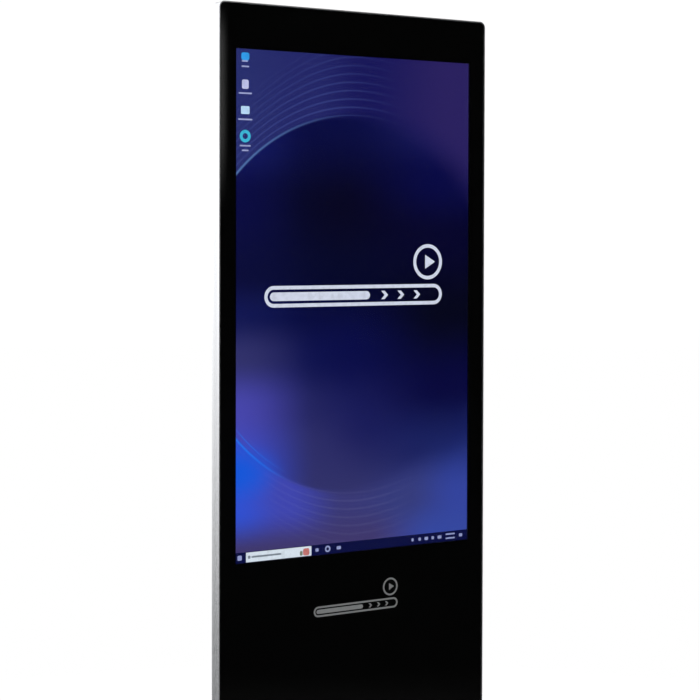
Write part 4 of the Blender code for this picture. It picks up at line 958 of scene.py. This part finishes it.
def make_ports_detail(steel, gold, dark, green):
    """Shells, contacts and tongues in the sockets, status lights and the plate's screws."""
    _, high, (x, _, z) = centre_of("io_panel")
    back = high.y
    shells, contacts, tongues, liners = (bmesh.new() for _ in range(4))
    for offset, width, height in PORTS:
        low = (x + offset - width / 2, z - height / 2)
        top = (x + offset + width / 2, z + height / 2)
        opening = grown(low, top, -SHELL_WALL, 0.0004, 3)
        add_flat_ring(shells, grown(low, top, SHELL_WALL, 0.0006, 3), opening, back - 0.01, back + 0.0002)
        inner = grown(low, top, -2 * SHELL_WALL, 0.0003, 3)
        add_flat_ring(liners, opening, inner, back - 0.0124, back - 0.001)
        add_block(liners, x + offset, z, width - 2 * SHELL_WALL, height - 2 * SHELL_WALL, back - 0.0124,
                    back - 0.0119, 0.0001)
    network_x, *data_x = (x + offset for offset, _, _ in PORTS)
    for number in range(8):
        contact_x = network_x + (number - 3.5) * 0.00102
        add_tube(contacts, [(contact_x, back - 0.0022, z + 0.0036), (contact_x, back - 0.006, z + 0.0022),
                            (contact_x, back - 0.01, z + 0.0012)], 0.0002, 6)
    for middle in data_x:
        add_block(tongues, middle, z + 0.00105, 0.01, 0.0017, back - 0.0118, back - 0.0012)
        for number in range(4):
            add_block(contacts, middle + (number - 1.5) * 0.0022, z + 0.0001, 0.001, 0.0003, back - 0.0095,
                        back - 0.0016, 0.0001)
    piece("port_shells", shells, steel)
    piece("port_contacts", contacts, gold)
    piece("port_tongues", tongues, dark)
    piece("port_liners", liners, dark)
    lights = bmesh.new()
    for light_x in (network_x - 0.0045, network_x + 0.0045):
        add_block(lights, light_x, z + 0.007, 0.0024, 0.0016, back - 0.0002, back + 0.0003, 0.0002)
    piece("port_status_lights", lights, green)
    screws = bmesh.new()
    for across in (-0.0382, 0.0382):
        for up in (0.0115, -0.0115):
            add_screw(screws, (x + across, back - 0.0001, z + up), 0.002, 0.0011)
    piece("port_plate_screws", screws, steel)


# ---- inside the cabinet
COMPUTER_PORTS = ((0.03, 0.015), (0.055, 0.03), (0.1, 0.016), (0.125, 0.014))  # start and width
COMPUTER_PORT_WALL = 0.0006
TERMINALS = 7
TERMINAL_PITCH = 0.0122


def make_computer_detail(steel, glow, gold):
    """The button's ring of light, port shells, mounting tabs with screws, and two aerial sockets."""
    low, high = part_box("mini_pc")
    button = centre_of("pc_power_button")[2]
    shape = bmesh.new()
    add_ring(shape, (button.x, high.y, button.z), 0.00045, 0.0064, 8, 40)
    piece("computer_button_light", shape, glow)
    shells = bmesh.new()
    for start, width in COMPUTER_PORTS:
        loops = []
        wide = COMPUTER_PORT_WALL
        for wall, rise in ((0.0, -0.005), (0.0, 0.0006), (wide, 0.0006), (wide, -0.005)):
            left, right = low.x + start + wall, low.x + start + width - wall
            front, back = low.y + 0.01 + wall, low.y + 0.018 - wall
            loops.append([shells.verts.new((x, y, high.z + rise))
                          for x, y in ((left, front), (right, front), (right, back), (left, back))])
        join_loops(shells, loops, ring=True)
    piece("computer_port_shells", shells, steel)
    mounts = bmesh.new()
    screws = bmesh.new()
    left, right = low.x + 0.025, high.x - 0.025
    for x, z, out in ((left, low.z, -1), (right, low.z, -1), (right, high.z, 1)):
        add_block(mounts, x, z + out * 0.007, 0.016, 0.014, low.y, low.y + 0.0015, 0.0004)
        add_screw(screws, (x, low.y + 0.0015, z + out * 0.0085), 0.0034, 0.002)
    for x in (low.x + 0.006, high.x - 0.006):
        for z in (low.z + 0.006, high.z - 0.006):
            add_screw(screws, (x, high.y - 0.0002, z), 0.0021, 0.001)
    piece("computer_mounting_tabs", mounts, (steel[0], "zinc_steel"))
    piece("computer_screws", screws, steel)
    sockets = bmesh.new()
    for x in (low.x + 0.158, low.x + 0.172):
        add_turned(sockets, (x, low.y + 0.014, high.z), UPWARD, [
            (0.0, 0.0031, 6), (0.002, 0.0031, 6), (0.002, 0.0025), (0.007, 0.0025), (0.007, 0.0016),
            (0.008, 0.0014)])
    piece("computer_aerial_sockets", sockets, gold)


def make_supply_detail(sheet, dark, steel):
    """A perforated lid over a thin black sheet that is painted shade for the dark inside seen through its
    holes, and the screws of the terminals.
    """
    low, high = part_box("power_supply")
    lid_low = (low.x + 0.022, low.z + 0.004)
    lid_high = (high.x - 0.003, high.z - 0.004)
    # painted shade: a thin black sheet under the lid's holes stands for the shade inside the supply
    shape = bmesh.new()
    add_flat(shape, rounded(lid_low, lid_high, 0.002, 3), high.y, high.y + 0.0002)
    piece("supply_lid_painted_shade", shape, dark)
    shape = bmesh.new()
    add_perforated(shape, lid_low, lid_high, high.y + 0.0003, high.y + 0.0011, 30, 16, 0.0021)
    piece("supply_lid", shape, sheet)
    screws = bmesh.new()
    blocks = bmesh.new()
    x = low.x + 0.0125
    for number in range(TERMINALS):
        z = low.z + 0.0185 + TERMINAL_PITCH * number
        add_block(blocks, x, z, 0.0138, 0.0088, low.y + 0.0106, low.y + 0.0203, 0.0005)
        add_block(blocks, x, z + 0.0058, 0.0138, 0.0012, low.y + 0.0106, low.y + 0.0225, 0.0004)
        add_screw(screws, (x, low.y + 0.0202, z), 0.003, 0.0014)
    piece("supply_terminal_block", blocks, dark)
    for x in (lid_low[0] + 0.004, lid_high[0] - 0.004):
        for z in (lid_low[1] + 0.004, lid_high[1] - 0.004):
            add_screw(screws, (x, high.y + 0.0011, z), 0.0024, 0.0012)
    piece("supply_screws", screws, steel)


def make_display_plug(dark):
    """The plug on the display cable's lower end, with its ribbed sleeve."""
    low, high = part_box("mini_pc")
    x = low.x + 0.07
    y = low.y + 0.014
    shape = bmesh.new()
    add_block(shape, x, high.z + 0.0104, 0.021, 0.0192, y - 0.0048, y + 0.0048, 0.0015, 3)
    add_turned(shape, (x, y, high.z + 0.0195), (0, 0.05, 1), [
        (0.0, 0.0052), (0.003, 0.0048), (0.0034, 0.0038), (0.0056, 0.0044), (0.006, 0.0034),
        (0.0082, 0.004), (0.0086, 0.0031), (0.012, 0.0029)])
    piece("display_cable_plug", shape, dark)


# ---- feet
def make_feet(rubber, steel):
    """A ribbed rubber ring round each pad, and a hexagon socket in the top of each stud."""
    for body in ("foot_front_left", "foot_front_right", "foot_rear_left", "foot_rear_right"):
        low, high, (x, y, _) = centre_of("levelling_" + body)
        shape = bmesh.new()
        loops = []
        for lift, reach in ((0.0002, 0.0219), (0.0006, 0.0226), (0.0026, 0.0226), (0.003, 0.0219)):
            ribbed = circle((x, y), reach, 72, 0.0004)
            loops.append([shape.verts.new((*point, low.z + lift)) for point in ribbed])
        join_loops(shape, loops, ring=True)
        piece(body + "_sole", shape, rubber, body)
        shape = bmesh.new()
        add_turned(shape, (x, y, high.z - 0.0001), UPWARD, [
            (0.0, 0.0047), (0.0004, 0.0044), (0.0006, 0.003, 6), (0.0002, 0.0028, 6), (0.00015, 0.0002)])
        piece(body + "_stud_end", shape, steel, body)


def make_details():
    steel = bright_plate(), "bright_steel"
    rubber = soft_rubber(), "black_rubber"
    dark = moulded_plastic(), "black_plastic"
    make_cover_screws(steel)
    make_door_gasket(rubber)
    make_hinge_screws(steel)
    make_lock_detail(steel, dark)
    make_door_inside(rubber, (zinc_plate(), "zinc_steel"), (powder_coat(), "charcoal_steel"))
    make_dust_filter(dark)
    cone = paper_cone(), "black_plastic"
    for side in ("left", "right"):
        make_fan(side, "fan_" + side, dark, steel)
        make_speaker(side, cone, rubber)
    # the rocker's printed on and off marks get a faint painted glow, though they are no lamp
    make_inlet_detail(steel, (lit("white_marks_painted_glow", srgb(190, 190, 190), 0.3), "black_plastic"))
    make_ports_detail(steel, (gold_plate(), "bright_steel"), dark,
                      (lit("status_green", srgb(60, 210, 90)), "front_glass"))
    make_computer_detail(steel, (lit("button_glow", srgb(120, 190, 255)), "front_glass"),
                         (gold_plate(), "bright_steel"))
    make_supply_detail((zinc_plate(), "zinc_steel"), dark, steel)
    make_display_plug(dark)
    make_feet(rubber, steel)


# ---- finishes of the CAD pieces
def paint_frame():
    """Gives every CAD piece its finish, by its name or by its material slot in the record."""
    upright = brushed_aluminium("brushed_aluminium_upright", "Z")
    level = brushed_aluminium("brushed_aluminium_level", "X")
    by_name = {
        "front_glass": clear_glass(), "touch_sensor": clear_film(), "lcd_cell": wallpaper(),
        "frame_side_left": upright, "frame_side_right": upright, "frame_top": level, "frame_bottom": level,
    }
    by_slot = {
        "zinc_steel": zinc_plate(), "bright_steel": bright_plate(), "charcoal_steel": powder_coat(),
        "black_plastic": moulded_plastic(), "black_rubber": soft_rubber(), "circuit_board": solder_mask(),
        "pressed_aluminium": pressed_sheet(), "backlight": pressed_sheet(), "aluminium_frame": level,
    }
    for part in frame["record"]["subparts"]:
        finish = by_name.get(part["node"]) or by_slot.get(part["material_slot"])
        if finish is not None:
            for slot in frame["nodes"][part["node"]].material_slots:
                slot.material = finish


# ---- studio
FLOOR_RADIUS = 2.6
FLOOR_MIRRORED = (0.12, 0.6)  # how bright the floor looks in a gloss: under the screen, and on the open side
IN_FRONT_DARK = 0.004  # what the glass mirrors, apart from the panel
FRONT_LEFT_CORNER = 0.2
PANEL_LIGHT = 0.85
SCATTERED_LIGHT = 0.85


def make_floor():
    """A round pale floor that melts into the white surroundings at its rim."""
    shape = bmesh.new()
    bmesh.ops.create_circle(shape, cap_ends=True, segments=96, radius=FLOOR_RADIUS)
    data = bpy.data.meshes.new("floor")
    shape.to_mesh(data)
    shape.free()
    floor = add_object("floor", data)
    made = Finish("floor")
    x, y, _ = made.axes(made.place)
    made.set(base_color=made.mix(made.noise(60.0, 3.0), (0.9, 0.9, 0.9), (0.93, 0.93, 0.93)),
             roughness=0.7, specular_ior_level=0.2)
    mirrored = made.add("ShaderNodeEmission")
    made.put(WHITE, mirrored.inputs["Color"])
    open_side = made.times(made.smooth(x, -0.1, 0.5), made.smooth(y, -0.3, 0.1))
    made.put(made.smooth(open_side, 0.0, 1.0, *FLOOR_MIRRORED), mirrored.inputs["Strength"])
    clear = made.add("ShaderNodeBsdfTransparent").outputs[0]
    in_gloss = made.add("ShaderNodeLightPath").outputs["Is Glossy Ray"]
    shown = made.shader.outputs[0]
    for factor, other in ((in_gloss, mirrored.outputs[0]), (made.smooth(made.away(x, y), 1.2, 2.5), clear)):
        blended = made.add("ShaderNodeMixShader")
        for value, socket in zip((factor, shown, other), blended.inputs):
            made.put(value, socket)
        shown = blended.outputs[0]
    made.put(shown, made.tree.nodes["Material Output"].inputs["Surface"])
    data.materials.append(made.material)


def make_world():
    """White to look at. Mirrored, it is bright behind the kiosk and dark in front of the glass."""
    world = bpy.data.worlds.new("studio")
    bpy.context.scene.world = world
    world.use_nodes = True
    graph = Graph(world.node_tree)
    smooth, times = graph.smooth, graph.times
    x, y, z = graph.axes(graph.add("ShaderNodeTexCoord").outputs["Generated"])
    # behind the kiosk: brighter above the horizon, and brighter on the left than on the right
    above = smooth(x, -0.25, 0.2, 1.7, 1.05)
    rear = smooth(z, -0.235, -0.01, smooth(x, -0.25, 0.2, 0.03, 0.62), above)
    # in front: a soft white panel to the right, which the glass shows along its left edge, and a pale corner
    turned_right = graph.math("ARCTAN2", x, times(y, -1.0))
    panel = times(smooth(turned_right, radians(29.9), radians(29.5)),
                  smooth(turned_right, radians(8.0), radians(14.0)),
                  smooth(z, 0.0, 0.07), smooth(z, 0.13, 0.1))
    to_left = times(smooth(x, -0.2, -0.5), smooth(y, -0.9, -0.6))
    corner = smooth(to_left, 0.0, 1.0, IN_FRONT_DARK, FRONT_LEFT_CORNER)
    front = smooth(panel, 0.0, 1.0, corner, PANEL_LIGHT)
    mirrored = smooth(smooth(y, -0.5, -0.1), 0.0, 1.0, front, rear)
    path = graph.add("ShaderNodeLightPath")
    scattered = graph.math("GREATER_THAN", path.outputs["Diffuse Depth"], 0.5)
    level = smooth(scattered, 0.0, 1.0, mirrored, SCATTERED_LIGHT)
    background = world.node_tree.nodes["Background"]
    graph.put(WHITE, background.inputs["Color"])
    graph.put(graph.math("MAXIMUM", path.outputs["Is Camera Ray"], level), background.inputs["Strength"])


def make_light(name, place, power):
    """A large soft lamp, turned to the kiosk, that mirrors don't show."""
    data = bpy.data.lights.new(name, "AREA")
    data.shape = "RECTANGLE"
    data.size = data.size_y = 2.0
    data.energy = power
    lamp = add_object(name, data)
    lamp.location = place
    lamp.rotation_mode = "QUATERNION"
    lamp.rotation_quaternion = (Vector((0.0, 0.0, 0.8)) - Vector(place)).to_track_quat("-Z", "Y")
    lamp.visible_glossy = False
    lamp.visible_transmission = False


def make_studio():
    make_world()
    make_floor()
    make_light("key", (-3.0, -1.5, 3.6), 90.0)
    make_light("rear", (2.4, 3.2, 3.2), 70.0)
    bpy.context.scene.view_settings.view_transform = "Standard"


# ---- everything
make_camera()
make_studio()
paint_frame()
make_glass()
make_picture()
make_printed_mark()
make_details()
